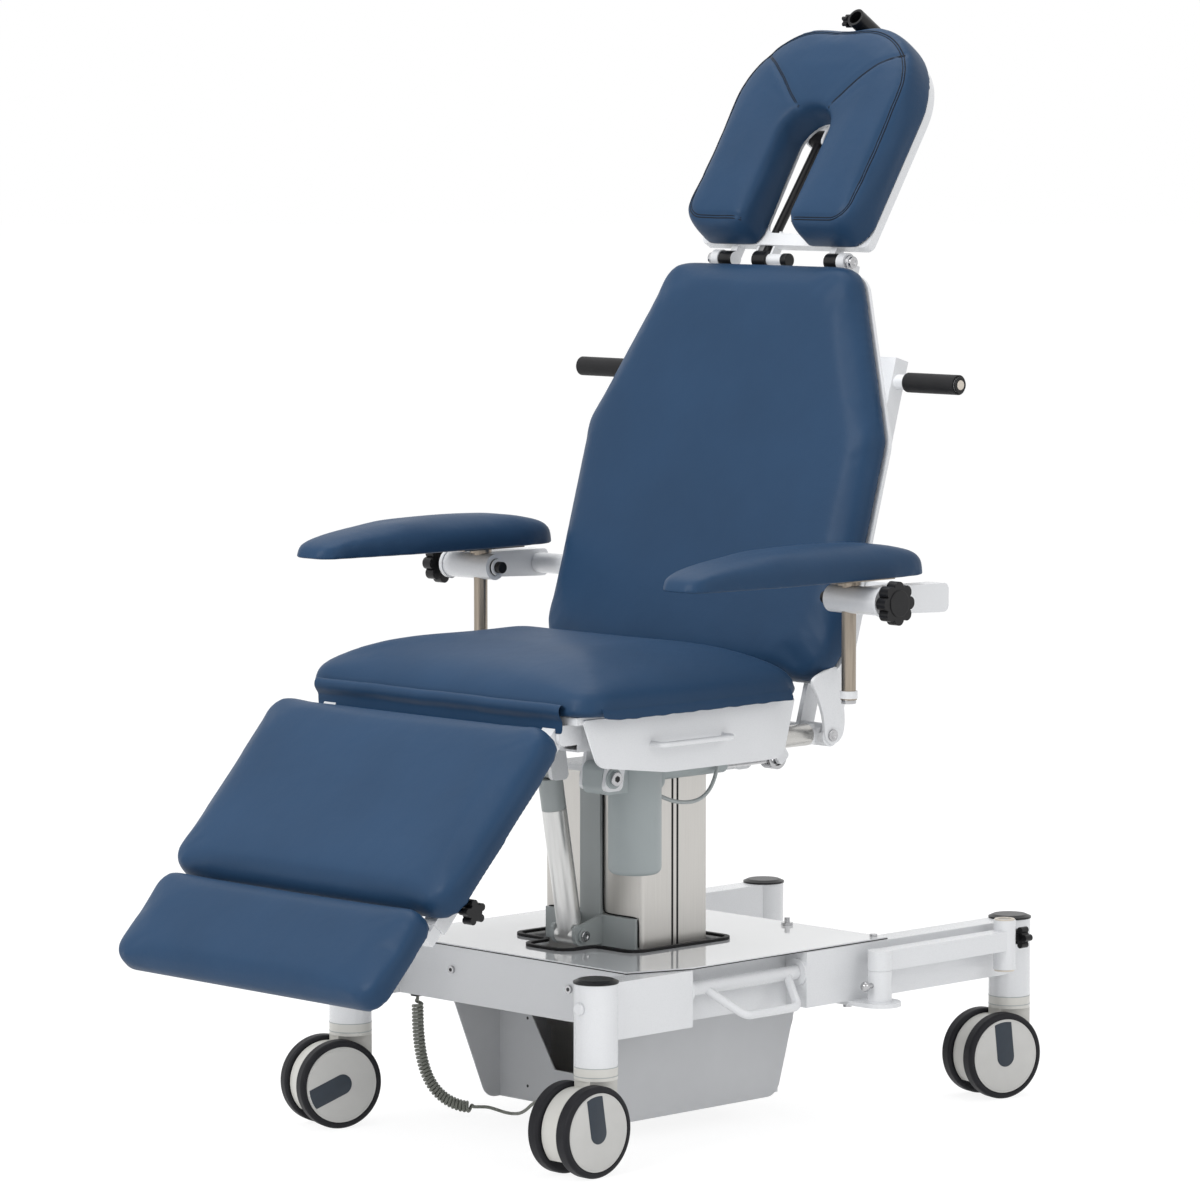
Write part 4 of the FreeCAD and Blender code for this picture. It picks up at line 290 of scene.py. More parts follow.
def vinyl(name, look):
    material, tree, shader = newMaterial(name)
    space = objectSpace(tree)
    cloud = noise(tree, space, look["cloudScale"], 3.0)
    grain = cells(tree, space, look["grainScale"])
    fine = noise(tree, space, look["fineScale"], 3.0)
    soft = noise(tree, space, look["softScale"], 2.0)
    tree.links.new(tinted(tree, cloud, look["colour"], look["vary"]), shader.inputs["Base Color"])
    tree.links.new(spread(tree, fine, *look["rough"]), shader.inputs["Roughness"])
    shader.inputs["Specular IOR Level"].default_value = look["specular"]
    shader.inputs["Sheen Weight"].default_value = look["sheen"]
    shader.inputs["Sheen Roughness"].default_value = 0.4
    bumped(tree, shader, [(grain, look["grainDepth"]), (fine, look["fineDepth"]), (soft, look["softDepth"])])
    return material


vinylLook = dict(colour=(0.0168, 0.0465, 0.0995), vary=0.06, cloudScale=7, grainScale=620, fineScale=1900, softScale=26,
                 rough=(0.40, 0.52), specular=0.16, sheen=0.0, grainDepth=0.00010, fineDepth=0.00003, softDepth=0.0008)
materials = {slot: surface(slot, look) for slot, look in finishes.items()}
materials["navy_vinyl"] = vinyl("navy_vinyl", vinylLook)
threadLook = dict(vinylLook, colour=(0.004, 0.008, 0.016), softDepth=0.0001)
threadMaterial = vinyl("seam_thread", threadLook)
for part in frame["record"]["subparts"]:
    holder = nodes[part["node"]]
    holder.data.materials.clear()
    holder.data.materials.append(materials[part["material_slot"]])
print("materials:", len(materials))


# camera at the photograph's place
cameraLook = dict(place=(5.450543, -5.293173, 1.4506), azimuth=45.7114162, elevation=5.31771615, lens=163.87)
camera = bpy.data.objects.new("camera", bpy.data.cameras.new("camera"))
scene.collection.objects.link(camera)
turn = math.radians(cameraLook["azimuth"])
tilt = math.radians(cameraLook["elevation"])
back = Vector((math.sin(turn) * math.cos(tilt), -math.cos(turn) * math.cos(tilt), math.sin(tilt)))
camera.location = cameraLook["place"]
camera.rotation_mode = "QUATERNION"
camera.rotation_quaternion = (-back).to_track_quat("-Z", "Y")
camera.data.lens = cameraLook["lens"]
camera.data.sensor_width = 36.0
camera.data.clip_end = 60.0
scene.camera = camera
print("camera set")


# cords
def curveFrom(name, points, radius, kind="NURBS"):
    curve = bpy.data.curves.new(name, "CURVE")
    curve.dimensions = "3D"
    curve.resolution_u = 8
    curve.bevel_depth = radius
    curve.bevel_resolution = 4
    curve.use_fill_caps = True
    spline = curve.splines.new(kind)
    spline.points.add(len(points) - 1)
    for spot, point in zip(points, spline.points):
        point.co = (*spot, 1)
    if kind == "NURBS":
        spline.order_u = 3
        spline.use_endpoint_u = True
    obj = bpy.data.objects.new(name, curve)
    scene.collection.objects.link(obj)
    return obj


def linePoints(obj):
    bpy.context.view_layer.update()
    held = bpy.data.meshes.new_from_object(obj.evaluated_get(bpy.context.evaluated_depsgraph_get()))
    points = [v.co.copy() for v in held.vertices]
    bpy.data.meshes.remove(held)
    return points


def routeLine(name, points, fineness=24):
    route = curveFrom(name, points, 0)
    route.data.resolution_u = fineness
    line = linePoints(route)
    bpy.data.objects.remove(route)
    return line


curlyCord = dict(wire=0.0024, outer=0.0087, pitch=0.0052, rampTurns=0.8, draw=0.004, stepsPerTurn=14)
coilRoute = [(-0.226, -0.11805, 0.172), (-0.226, -0.11805, 0.148), (-0.226, -0.11705, 0.122),
             (-0.2245, -0.11505, 0.096), (-0.221, -0.11205, 0.072), (-0.2145, -0.10705, 0.050),
             (-0.204, -0.09955, 0.032), (-0.190, -0.08905, 0.0195), (-0.174, -0.07705, 0.013),
             (-0.158, -0.06505, 0.0135)]
tailRoute = [(-0.146, -0.05605, 0.013875), (-0.132, -0.05055, 0.0105), (-0.116, -0.04905, 0.0085),
             (-0.099, -0.05105, 0.0095), (-0.081, -0.05505, 0.013), (-0.063, -0.06055, 0.021),
             (-0.046, -0.06705, 0.031), (-0.029, -0.07305, 0.0395), (-0.012, -0.07655, 0.045),
             (0.003, -0.07455, 0.047), (0.0135, -0.06655, 0.0465), (0.0165, -0.05705, 0.046),
             (0.0165, -0.05005, 0.046)]


def eased(share):
    share = clamped(share)
    return share * share * (3 - 2 * share)


def makeCurlyCord(look):
    line = routeLine("cordRoute", coilRoute + tailRoute)
    joint = Vector(coilRoute[-1])
    endIndex = min(range(len(line)), key=lambda i: (line[i] - joint).length)
    stations = [0.0]
    for a, b in zip(line, line[1:]):
        stations.append(stations[-1] + (b - a).length)
    coilLength = stations[endIndex]
    lead = 2 * look["wire"]
    run = coilLength - 2 * lead - 2 * look["draw"]
    turns = int(run / look["pitch"])

    def onLine(distance):
        i = 0
        while i < len(stations) - 2 and stations[i + 1] < distance:
            i += 1
        share = clamped((distance - stations[i]) / (stations[i + 1] - stations[i]))
        before = line[max(i - 1, 0)]
        after = line[min(i + 2, len(line) - 1)]
        return line[i].lerp(line[i + 1], share), (after - before).normalized()

    across = Vector((0.6, -0.8, 0.0))
    points = [line[0]]
    for k in range(turns * look["stepsPerTurn"] + 1):
        turnCount = k / look["stepsPerTurn"]
        opened = eased(turnCount / look["rampTurns"])
        closed = eased((turns - turnCount) / look["rampTurns"])
        place, way = onLine(lead + run * turnCount / turns + look["draw"] * (1 + opened - closed))
        side = (across - way * across.dot(way)).normalized()
        reach = (look["outer"] - look["wire"]) * opened * closed
        angle = 2 * math.pi * turnCount
        points.append(place + side * (reach * math.cos(angle)) + way.cross(side) * (reach * math.sin(angle)))
    points += line[endIndex + 2:]
    cord = curveFrom("curlyCord", points, look["wire"], "POLY")
    finishPiece(cord, materials["cord_grey"], "chassis")
    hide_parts("cord_coil", "cord_tail")
    return turns


print("curly cord with", makeCurlyCord(curlyCord), "curls")

motorCable = dict(radius=0.0028, points=[
    (0.1400, -0.0010, 0.482), (0.1450, 0.0080, 0.477), (0.1500, 0.0220, 0.4715), (0.1525, 0.0400, 0.4690),
    (0.1530, 0.0580, 0.4690), (0.1525, 0.0760, 0.4735), (0.1515, 0.0910, 0.4840), (0.1500, 0.1020, 0.5000),
    (0.1480, 0.1090, 0.5180), (0.1455, 0.1130, 0.5360), (0.1440, 0.1140, 0.5520)])


def makeMotorCable(look):
    cable = curveFrom("motorCable", look["points"], look["radius"])
    finishPiece(cable, materials["bracket_grey"], "seat")
    line = routeLine("cableRoute", look["points"])


makeMotorCable(motorCable)
print("motor cable")


weldGap = 0.00005  # triangle corners of a solid's copy closer than this are one


# padded pieces: the solid's shape, remeshed, blown up a little as a stuffed cover, then smoothed
def slopeSpot(origin, angle, x, along, out):
    c = math.cos(math.radians(angle))
    s = math.sin(math.radians(angle))
    return Vector((x, origin[0] + along * c - out * s, origin[1] + along * s + out * c))


def padMesh(node, name, look):
    pad = bpy.data.objects.new(name, nodes[node].data.copy())
    scene.collection.objects.link(pad)
    faceOutward(pad, weldGap)
    remesh = pad.modifiers.new("remesh", "REMESH")
    remesh.mode = "VOXEL"
    remesh.voxel_size = look["voxel"]
    applyModifier(pad, remesh)
    relaxSoft(pad, look["held"], look["relax"])
    relaxSoft(pad, lambda spot: False, look["round"])
    return pad


def relaxSoft(pad, isHeld, rounds):
    group = pad.vertex_groups.new(name="soft")
    group.add([v.index for v in pad.data.vertices if not isHeld(v.co)], 1.0, "REPLACE")
    relax = pad.modifiers.new("relax", "SMOOTH")
    relax.factor = 0.5
    relax.iterations = rounds
    relax.vertex_group = "soft"
    applyModifier(pad, relax)
    pad.vertex_groups.clear()


def planeAxes(plane):
    origin, angle = plane
    base = slopeSpot(origin, angle, 0, 0, 0)
    return base, slopeSpot(origin, angle, 0, 1, 0) - base, slopeSpot(origin, angle, 0, 0, 1) - base


def fitOutline(pad, node, plane, extra):
    base, along, _ = planeAxes(plane)
    solid = [v.co for v in nodes[node].data.vertices]
    for axis, less, more in ((Vector((1, 0, 0)), extra[0], extra[0]), (along, extra[1], extra[2])):
        want = [(spot - base).dot(axis) for spot in solid]
        have = [(v.co - base).dot(axis) for v in pad.data.vertices]
        low, high = min(want) - less, max(want) + more
        factor = (high - low) / (max(have) - min(have))
        start = min(have)
        for vertex, place in zip(pad.data.vertices, have):
            vertex.co += axis * (low + (place - start) * factor - place)
    pad.data.update()


clothLook = dict(stiffness=20, bending=2, quality=4)


def puffUp(pad, look):
    rest = [v.co.copy() for v in pad.data.vertices]
    group = pad.vertex_groups.new(name="held")
    group.add([v.index for v in pad.data.vertices if look["held"](v.co)], 1.0, "REPLACE")
    cloth = pad.modifiers.new("cloth", "CLOTH")
    cloth.settings.use_pressure = True
    cloth.settings.uniform_pressure_force = look["pressure"]
    cloth.settings.vertex_group_mass = "held"
    cloth.settings.tension_stiffness = clothLook["stiffness"]
    cloth.settings.compression_stiffness = clothLook["stiffness"]
    cloth.settings.bending_stiffness = clothLook["bending"]
    cloth.settings.quality = clothLook["quality"]
    cloth.settings.effector_weights.gravity = 0
    cloth.collision_settings.use_collision = False
    cloth.point_cache.frame_start = 1
    cloth.point_cache.frame_end = look["frames"]
    for step in range(1, look["frames"] + 1):
        scene.frame_set(step)
    applyModifier(pad, cloth)
    scene.frame_set(1)
    for vertex, start in zip(pad.data.vertices, rest):
        move = vertex.co - start
        if move.length > look["cap"]:
            vertex.co = start + move * (look["cap"] / move.length)
    pad.vertex_groups.clear()
    relaxSoft(pad, look["held"], look["after"])


def sewDown(pad, seams, reach, depth):
    for vertex in pad.data.vertices:
        near = min((vertex.co - spot).length for spot in seams)
        if near < 3 * reach:
            vertex.co -= vertex.normal * depth * math.exp(-(near / reach) ** 2)


def coverPad(pad, look):
    if len(pad.data.polygons) < fineEnough:
        subdivide(pad, 1)
    activate(pad)
    bpy.ops.object.shade_smooth()
    finishPiece(pad, materials["navy_vinyl"], look["body"])
    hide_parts(look["node"])


fineEnough = 40000  # a pad with fewer faces is subdivided once
flatPlane = ((0, 0), 0)
backPlane = ((0.107 + datumY, 0.970), 73.7)
headPlane = ((0.240 + datumY, 1.350), 57.4)
legPlane = ((-0.612 + datumY, 0.500), 47.5)


def behind(plane, depth):
    (y, z), angle = plane
    out = Vector((0, -math.sin(math.radians(angle)), math.cos(math.radians(angle))))
    return lambda spot: (spot - Vector((0, y, z))).dot(out) < depth


def below(height):
    return lambda spot: spot.z < height


def padLook(node, body, **own):
    usual = dict(node=node, body=body, voxel=0.006, relax=5, round=0, pressure=3, frames=12, cap=0.004, after=8,
                 fill=0.85, extra=(0, 0, 0))
    return usual | own


# extra: how far the cover reaches past its solid, to each side, at the low end and at the high end
pads = {
    "seatPad": padLook("seat_pad", "seat", relax=14, pressure=2, cap=0.005, after=40, fill=0.8, held=below(0.632),
                       plane=flatPlane, extra=(0.001, 0, 0.009)),
    "backPad": padLook("back_pad", "back", round=14, held=behind(backPlane, -0.036), plane=backPlane,
                       extra=(0, 0.001, 0.006)),
    "legPad": padLook("leg_pad", "leg", held=behind(legPlane, -0.038), plane=legPlane),
    "footPad": padLook("foot_pad", "foot", voxel=0.005, held=behind(legPlane, -0.026), plane=legPlane),
    "headPad": padLook("head_pad", "head", voxel=0.004, relax=12, pressure=4, cap=0.005, after=10, fill=0.9,
                       held=behind(headPlane, -0.052), plane=headPlane, extra=(0.004, 0.002, 0.002)),
}
for word in ("right", "left"):
    armNode = "arm_pad_" + word
    pads["armPad" + word.capitalize()] = padLook(armNode, armNode, voxel=0.004, relax=40, after=10, held=below(0.7925),
                                                 plane=flatPlane, extra=(0, 0.003, 0.002))

# crown: an arm pad's height along its length, front to rear, over its flat underside
armArch = dict(bins=48, leastTop=0.004, mostStretch=2.2, flat=0.004, rounds=30, fineness=8, crown=[
    (0, 0.0140), (0.03, 0.0230), (0.12, 0.0345), (0.28, 0.0435), (0.45, 0.0490), (0.62, 0.0500), (0.78, 0.0470),
    (0.90, 0.0410), (0.96, 0.0340), (1, 0.0200)])


def alongTable(line, share):
    for a, b in zip(line, line[1:]):
        if share <= b.x:
            return a.z + (b.z - a.z) * (share - a.x) / max(b.x - a.x, 1e-6)
    return line[-1].z


def arch(pad, look):
    spots = [v.co for v in pad.data.vertices]
    front = min(s.y for s in spots)
    rear = max(s.y for s in spots)
    base = min(s.z for s in spots)
    bins = look["bins"]
    tops = [look["leastTop"]] * (bins + 1)
    for s in spots:
        k = round((s.y - front) / (rear - front) * bins)
        tops[k] = max(tops[k], s.z - base)
    for _ in range(3):
        tops = [tops[0]] + [(a + b + c) / 3 for a, b, c in zip(tops, tops[1:], tops[2:])] + [tops[-1]]
    line = routeLine("crownRoute", [(share, 0, height) for share, height in look["crown"]], look["fineness"])
    for vertex in pad.data.vertices:
        share = (vertex.co.y - front) / (rear - front)
        k = min(int(share * bins), bins - 1)
        mix = share * bins - k
        now = tops[k] * (1 - mix) + tops[k + 1] * mix
        vertex.co.z = base + (vertex.co.z - base) * min(alongTable(line, share) / now, look["mostStretch"])
    pad.data.update()
    relaxSoft(pad, below(base + look["flat"]), look["rounds"])


# seams of the headrest: two lines from the slot to the rim, and one round the front edge
headSeams = dict(step=0.004, sink=-0.0001, reach=0.0045, depth=0.0024, thread=0.0009, twin=0.0024, hem=0.0034,
                 rimReach=0.0034, rimDepth=0.0020,
                 side=[(0.030, 0.098), (0.050, 0.116), (0.074, 0.141), (0.100, 0.164), (0.134, 0.187)],
                 rim=[(0.050, -0.088, 0), (0.156, -0.088, 0.028), (0.156, 0.222, 0.108), (0, 0.222, 0)])


def spreadPoints(points, step):
    result = [points[0]]
    for a, b in zip(points, points[1:]):
        count = max(1, int((b - a).length / step))
        result += [a.lerp(b, (k + 1) / count) for k in range(count)]
    return result


def roundedPath(corners, steps=14):
    points = []
    for k, (x, s, radius) in enumerate(corners):
        here = Vector((x, s, 0))
        if radius == 0:
            points.append(here)
            continue
        before = (Vector((*corners[k - 1][:2], 0)) - here).normalized()
        after = (Vector((*corners[k + 1][:2], 0)) - here).normalized()
        centre = here + (before + after) * radius
        for j in range(steps + 1):
            angle = math.pi / 2 * j / steps
            points.append(centre - after * radius * math.cos(angle) - before * radius * math.sin(angle))
    return points


def seamOnPad(pad, points, out, lift):
    found = []
    for spot in points:
        hit, place, normal, index = pad.ray_cast(spot + out * 0.05, -out)
        if hit:
            found.append(place + normal * lift)
    return found


def threadPiece(name, points, radius, body):
    thread = curveFrom(name, points, radius)
    thread.data.bevel_resolution = 2
    finishPiece(curveToMesh(thread), threadMaterial, body)


def sideways(line, out, offset):
    moved = [spot + (after - spot).normalized().cross(out) * offset for spot, after in zip(line, line[1:])]
    return moved + [line[-1] + moved[-1] - line[-2]]


# lift of the headrest's top, less by the tube's knob, and drop of its lower ends at the back
headCrown = dict(start=0.10, end=0.235, lift=0.009, low=-0.050, foot=-0.100, drop=0.009, depth=0.062,
                 knobX=-0.014, knobRoom=0.060, knobShare=0.6)


def shapeHead(pad, look):
    base, along, out = planeAxes(headPlane)
    for vertex in pad.data.vertices:
        reach = (vertex.co - base).dot(along)
        depth = clamped(-(vertex.co - base).dot(out) / look["depth"])
        up = clamped((reach - look["start"]) / (look["end"] - look["start"]))
        down = clamped((look["low"] - reach) / (look["low"] - look["foot"]))
        clear = look["knobShare"] * math.exp(-((vertex.co.x - look["knobX"]) / look["knobRoom"]) ** 2)
        vertex.co += along * (look["lift"] * up * (1 - clear) - look["drop"] * down * depth)
    pad.data.update()


def makeHeadSeams(pad, look):
    origin, angle = headPlane
    out = planeAxes(headPlane)[2].normalized()
    lines = []
    rims = []
    half = roundedPath(look["rim"])
    for sign in (-1, 1):
        spots = [slopeSpot(origin, angle, sign * x, s, 0) for x, s in look["side"]]
        lines.append(seamOnPad(pad, spreadPoints(spots, look["step"]), out, 0))
        spots = [slopeSpot(origin, angle, sign * v.x, v.y, 0) for v in half]
        rims.append(seamOnPad(pad, spreadPoints(spots, look["step"]), out, 0))
    sewDown(pad, [spot for line in lines for spot in line], look["reach"], look["depth"])
    sewDown(pad, [spot for line in rims for spot in line], look["rimReach"], look["rimDepth"])
    pad.data.update()
    threads = [sideways(line, out, offset) for line in lines for offset in (0, look["twin"])]
    for line, sign in zip(rims, (-1, 1)):
        threads += [line, sideways(line, out, sign * look["hem"])]
    for count, line in enumerate(threads):
        points = seamOnPad(pad, line, out, look["sink"])
        threadPiece("headSeam" + str(count + 1), points[::2] + points[-1:], look["thread"], "head")


for name, look in pads.items():
    pad = padMesh(look["node"], name, look)
    puffUp(pad, look)
    fitOutline(pad, look["node"], look["plane"], look["extra"])
    if name.startswith("armPad"):
        arch(pad, armArch)
    if name == "headPad":
        shapeHead(pad, headCrown)
        makeHeadSeams(pad, headSeams)
    coverPad(pad, look)
    print(name, len(pad.data.polygons), "faces")


# fasteners and small trims
# dark hex disc with a shallow recess: painted shade inside a fastener's hex socket
def socketShade(name, centre, axis, radius, material, body):
    piece = roundBar(name, centre, axis, radius, 0.0006, 6)
    facesByNormal(piece, Vector(axis).normalized())
    bpy.ops.mesh.inset(thickness=radius * 0.18, depth=-0.0003)
    bpy.ops.object.mode_set(mode="OBJECT")
    return finishPiece(piece, material, body)


def domedBolt(name, centre, axis, radius, height, material, body):
    piece = roundBar(name, Vector(centre) + Vector(axis).normalized() * height / 2, axis, radius, height)
    facesByNormal(piece, Vector(axis).normalized())
    bpy.ops.mesh.inset(thickness=radius * 0.5, depth=0)
    bpy.ops.mesh.inset(thickness=radius * 0.08, depth=-height * 0.35)
    bpy.ops.object.mode_set(mode="OBJECT")
    softenEdges(piece, height * 0.25, 3, 30)
    smooth(piece)
    return finishPiece(piece, material, body)


def ringPiece(name, centre, axis, outer, inner, depth, material, body):
    deselectAll()
    turn = Vector(axis).to_track_quat("Z", "Y").to_euler()
    bpy.ops.mesh.primitive_cylinder_add(vertices=48, radius=outer, depth=depth, end_fill_type="NOTHING",
                                        location=centre, rotation=turn)
    ring = bpy.context.active_object
    ring.name = name
    settle(ring)
    thicken(ring, outer - inner, -1)
    softenEdges(ring, min(depth, outer - inner) * 0.2, 2, 40)
    smooth(ring)
    return finishPiece(ring, material, body)


def capPiece(name, base, axis, radius, height, material, body, crown=0.35):
    way = Vector(axis).normalized()
    piece = roundBar(name, Vector(base) + way * height / 2, axis, radius, height)
    facesByNormal(piece, way)
    bpy.ops.mesh.inset(thickness=radius * 0.12, depth=0)
    bpy.ops.object.mode_set(mode="OBJECT")
    softenEdges(piece, min(radius, height) * crown, 4, 30)
    smooth(piece)
    return finishPiece(piece, material, body)


# castors: pale wheel discs with a dark inset, and two joint lines round the stem
castorLook = dict(discRadius=0.0535, discDepth=0.0022, rimStep=0.0022, rimSink=0.0005, rimRise=0.0007, wheelFace=0.0360,
                  discSink=0.0012, insetHalf=0.0145, insetTop=0.0500, insetLow=0.0010, insetDepth=0.0006,
                  insetLift=0.00005, jointRadius=0.0304, jointWall=0.0012, jointDepth=0.0011,
                  jointLevels=dict(High=0.1452, Low=0.1330), lean=dict(fl=112.0, fr=9.0, rl=60.0, rr=6.0))


def wheelDisc(look):
    deselectAll()
    bpy.ops.mesh.primitive_cylinder_add(vertices=96, radius=look["discRadius"], depth=look["discDepth"])
    disc = bpy.context.active_object
    facesByNormal(disc, Vector((0, 0, 1)))
    bpy.ops.mesh.inset(thickness=look["rimStep"], depth=-look["rimSink"])
    bpy.ops.mesh.inset(thickness=look["rimStep"] / 2, depth=look["rimRise"])
    bpy.ops.object.mode_set(mode="OBJECT")
    softenEdges(disc, 0.0003, 2, 25)
    return disc


def wheelInset(look):
    deselectAll()
    bpy.ops.mesh.primitive_circle_add(vertices=64, radius=look["insetHalf"], fill_type="NGON")
    inset = bpy.context.active_object
    for vertex in inset.data.vertices:
        if vertex.co.y > 0.0001:
            vertex.co.y = math.sqrt(look["insetTop"] ** 2 - vertex.co.x ** 2)
        else:
            vertex.co.y -= look["insetLow"]
    extrudeAll(inset, (0, 0, look["insetDepth"]))
    softenEdges(inset, 0.0002, 2, 40)
    return inset


def copyOf(source, name, matrix):
    obj = bpy.data.objects.new(name, source.data.copy())
    scene.collection.objects.link(obj)
    obj.matrix_world = matrix
    bpy.context.view_layer.update()
    settle(obj)
    smooth(obj)
    return obj


def makeCastors(look):
    disc = wheelDisc(look)
    inset = wheelInset(look)
    joints = {j["name"]: j for j in frame["joints"]}
    seat = look["wheelFace"] - look["discSink"]
    for corner in ("fl", "fr", "rl", "rr"):
        joint = joints["wheel_spin_" + corner]
        axis = Vector(joint["axis"]).normalized()
        hub = Vector(joint["pos_m"])
        for side, word in ((1, "Out"), (-1, "In")):
            tag = corner.upper() + word
            normal = axis * side
            up = Matrix.Rotation(math.radians(look["lean"][corner]) * side, 4, normal) @ Vector((0, 0, 1))
            turned = Matrix((up.cross(normal), up, normal)).transposed().to_4x4()
            middle = Matrix.Translation(hub + normal * (seat + look["discDepth"] / 2))
            finishPiece(copyOf(disc, "wheelDisc" + tag, middle @ turned), materials["disc_grey"], "wheels_" + corner)
            face = Matrix.Translation(hub + normal * (seat + look["discDepth"] + look["insetLift"]))
            finishPiece(copyOf(inset, "wheelInset" + tag, face @ turned), materials["inset_navy"], "wheels_" + corner)
        x, y, _ = joints["castor_swivel_" + corner]["pos_m"]
        for word, level in look["jointLevels"].items():
            ringPiece("collarJoint" + corner.upper() + word, (x, y, level), (0, 0, 1), look["jointRadius"],
                      look["jointRadius"] - look["jointWall"], look["jointDepth"], materials["bracket_grey"],
                      "castor_" + corner)
    bpy.data.objects.remove(disc)
    bpy.data.objects.remove(inset)


makeCastors(castorLook)
print("castor discs")


# curved cheek plate beside each back hinge, (y, z) round its edge
hingeCheek = dict(inner=0.2672, outer=0.2728, outline=[
    (0.209, 0.5450), (0.220, 0.5472), (0.2305, 0.5560), (0.2345, 0.5700), (0.2345, 0.5850), (0.2320, 0.6050),
    (0.2295, 0.6300), (0.2285, 0.6500), (0.2150, 0.6560), (0.1950, 0.6500), (0.1720, 0.6420), (0.1690, 0.6330),
    (0.1790, 0.6180), (0.1880, 0.5980), (0.1935, 0.5800), (0.1940, 0.5660), (0.1965, 0.5520)])


def platePiece(name, outline, inner, outer, material, body):
    ring = routeLine(name + "Route", [(inner, y, z) for y, z in outline + outline[:1]], 6)[:-1]
    deselectAll()
    bpy.ops.mesh.primitive_circle_add(vertices=len(ring), radius=1, fill_type="NGON")
    plate = bpy.context.active_object
    plate.name = name
    for vertex, spot in zip(plate.data.vertices, ring):
        vertex.co = spot
    extrudeAll(plate, (outer - inner, 0, 0))
    softenEdges(plate, 0.0006, 2, 50)
    smooth(plate)
    return finishPiece(plate, material, body)


# places in the (y, z) plane, and the sizes that more than one trim shares
trimLook = dict(panelScrew=(0.1185, 0.225), socket=0.0028, plug=(0.248, 0.2255), actuatorBolt=(-0.257 + datumY, 0.515),
                tiltPivot=(-0.188 + datumY, 0.276), backHinge=(0.055 + datumY, 0.559),
                headHinge=(0.235 + datumY, 1.209), pushBar=(0.3537, 1.045), collarIn=0.2800, collarLap=0.002,
                collar=0.01395, collarBore=0.0105,
                postX=0.3686, postY=0.13945, clampLevel=0.760, stub=(0.1455, 0.559), strutTop=(-0.036, 0.088, -0.080),
                strutCapOut=0.0173, poleSocket=(0.300, 0.54195), poleLevels=dict(High=0.2682, Low=0.1950),
                trayHoleShade=(-0.0790, -0.0417), trayLevels=(0.148, 0.051))


def spotAt(x, place):
    return Vector((x, *place))


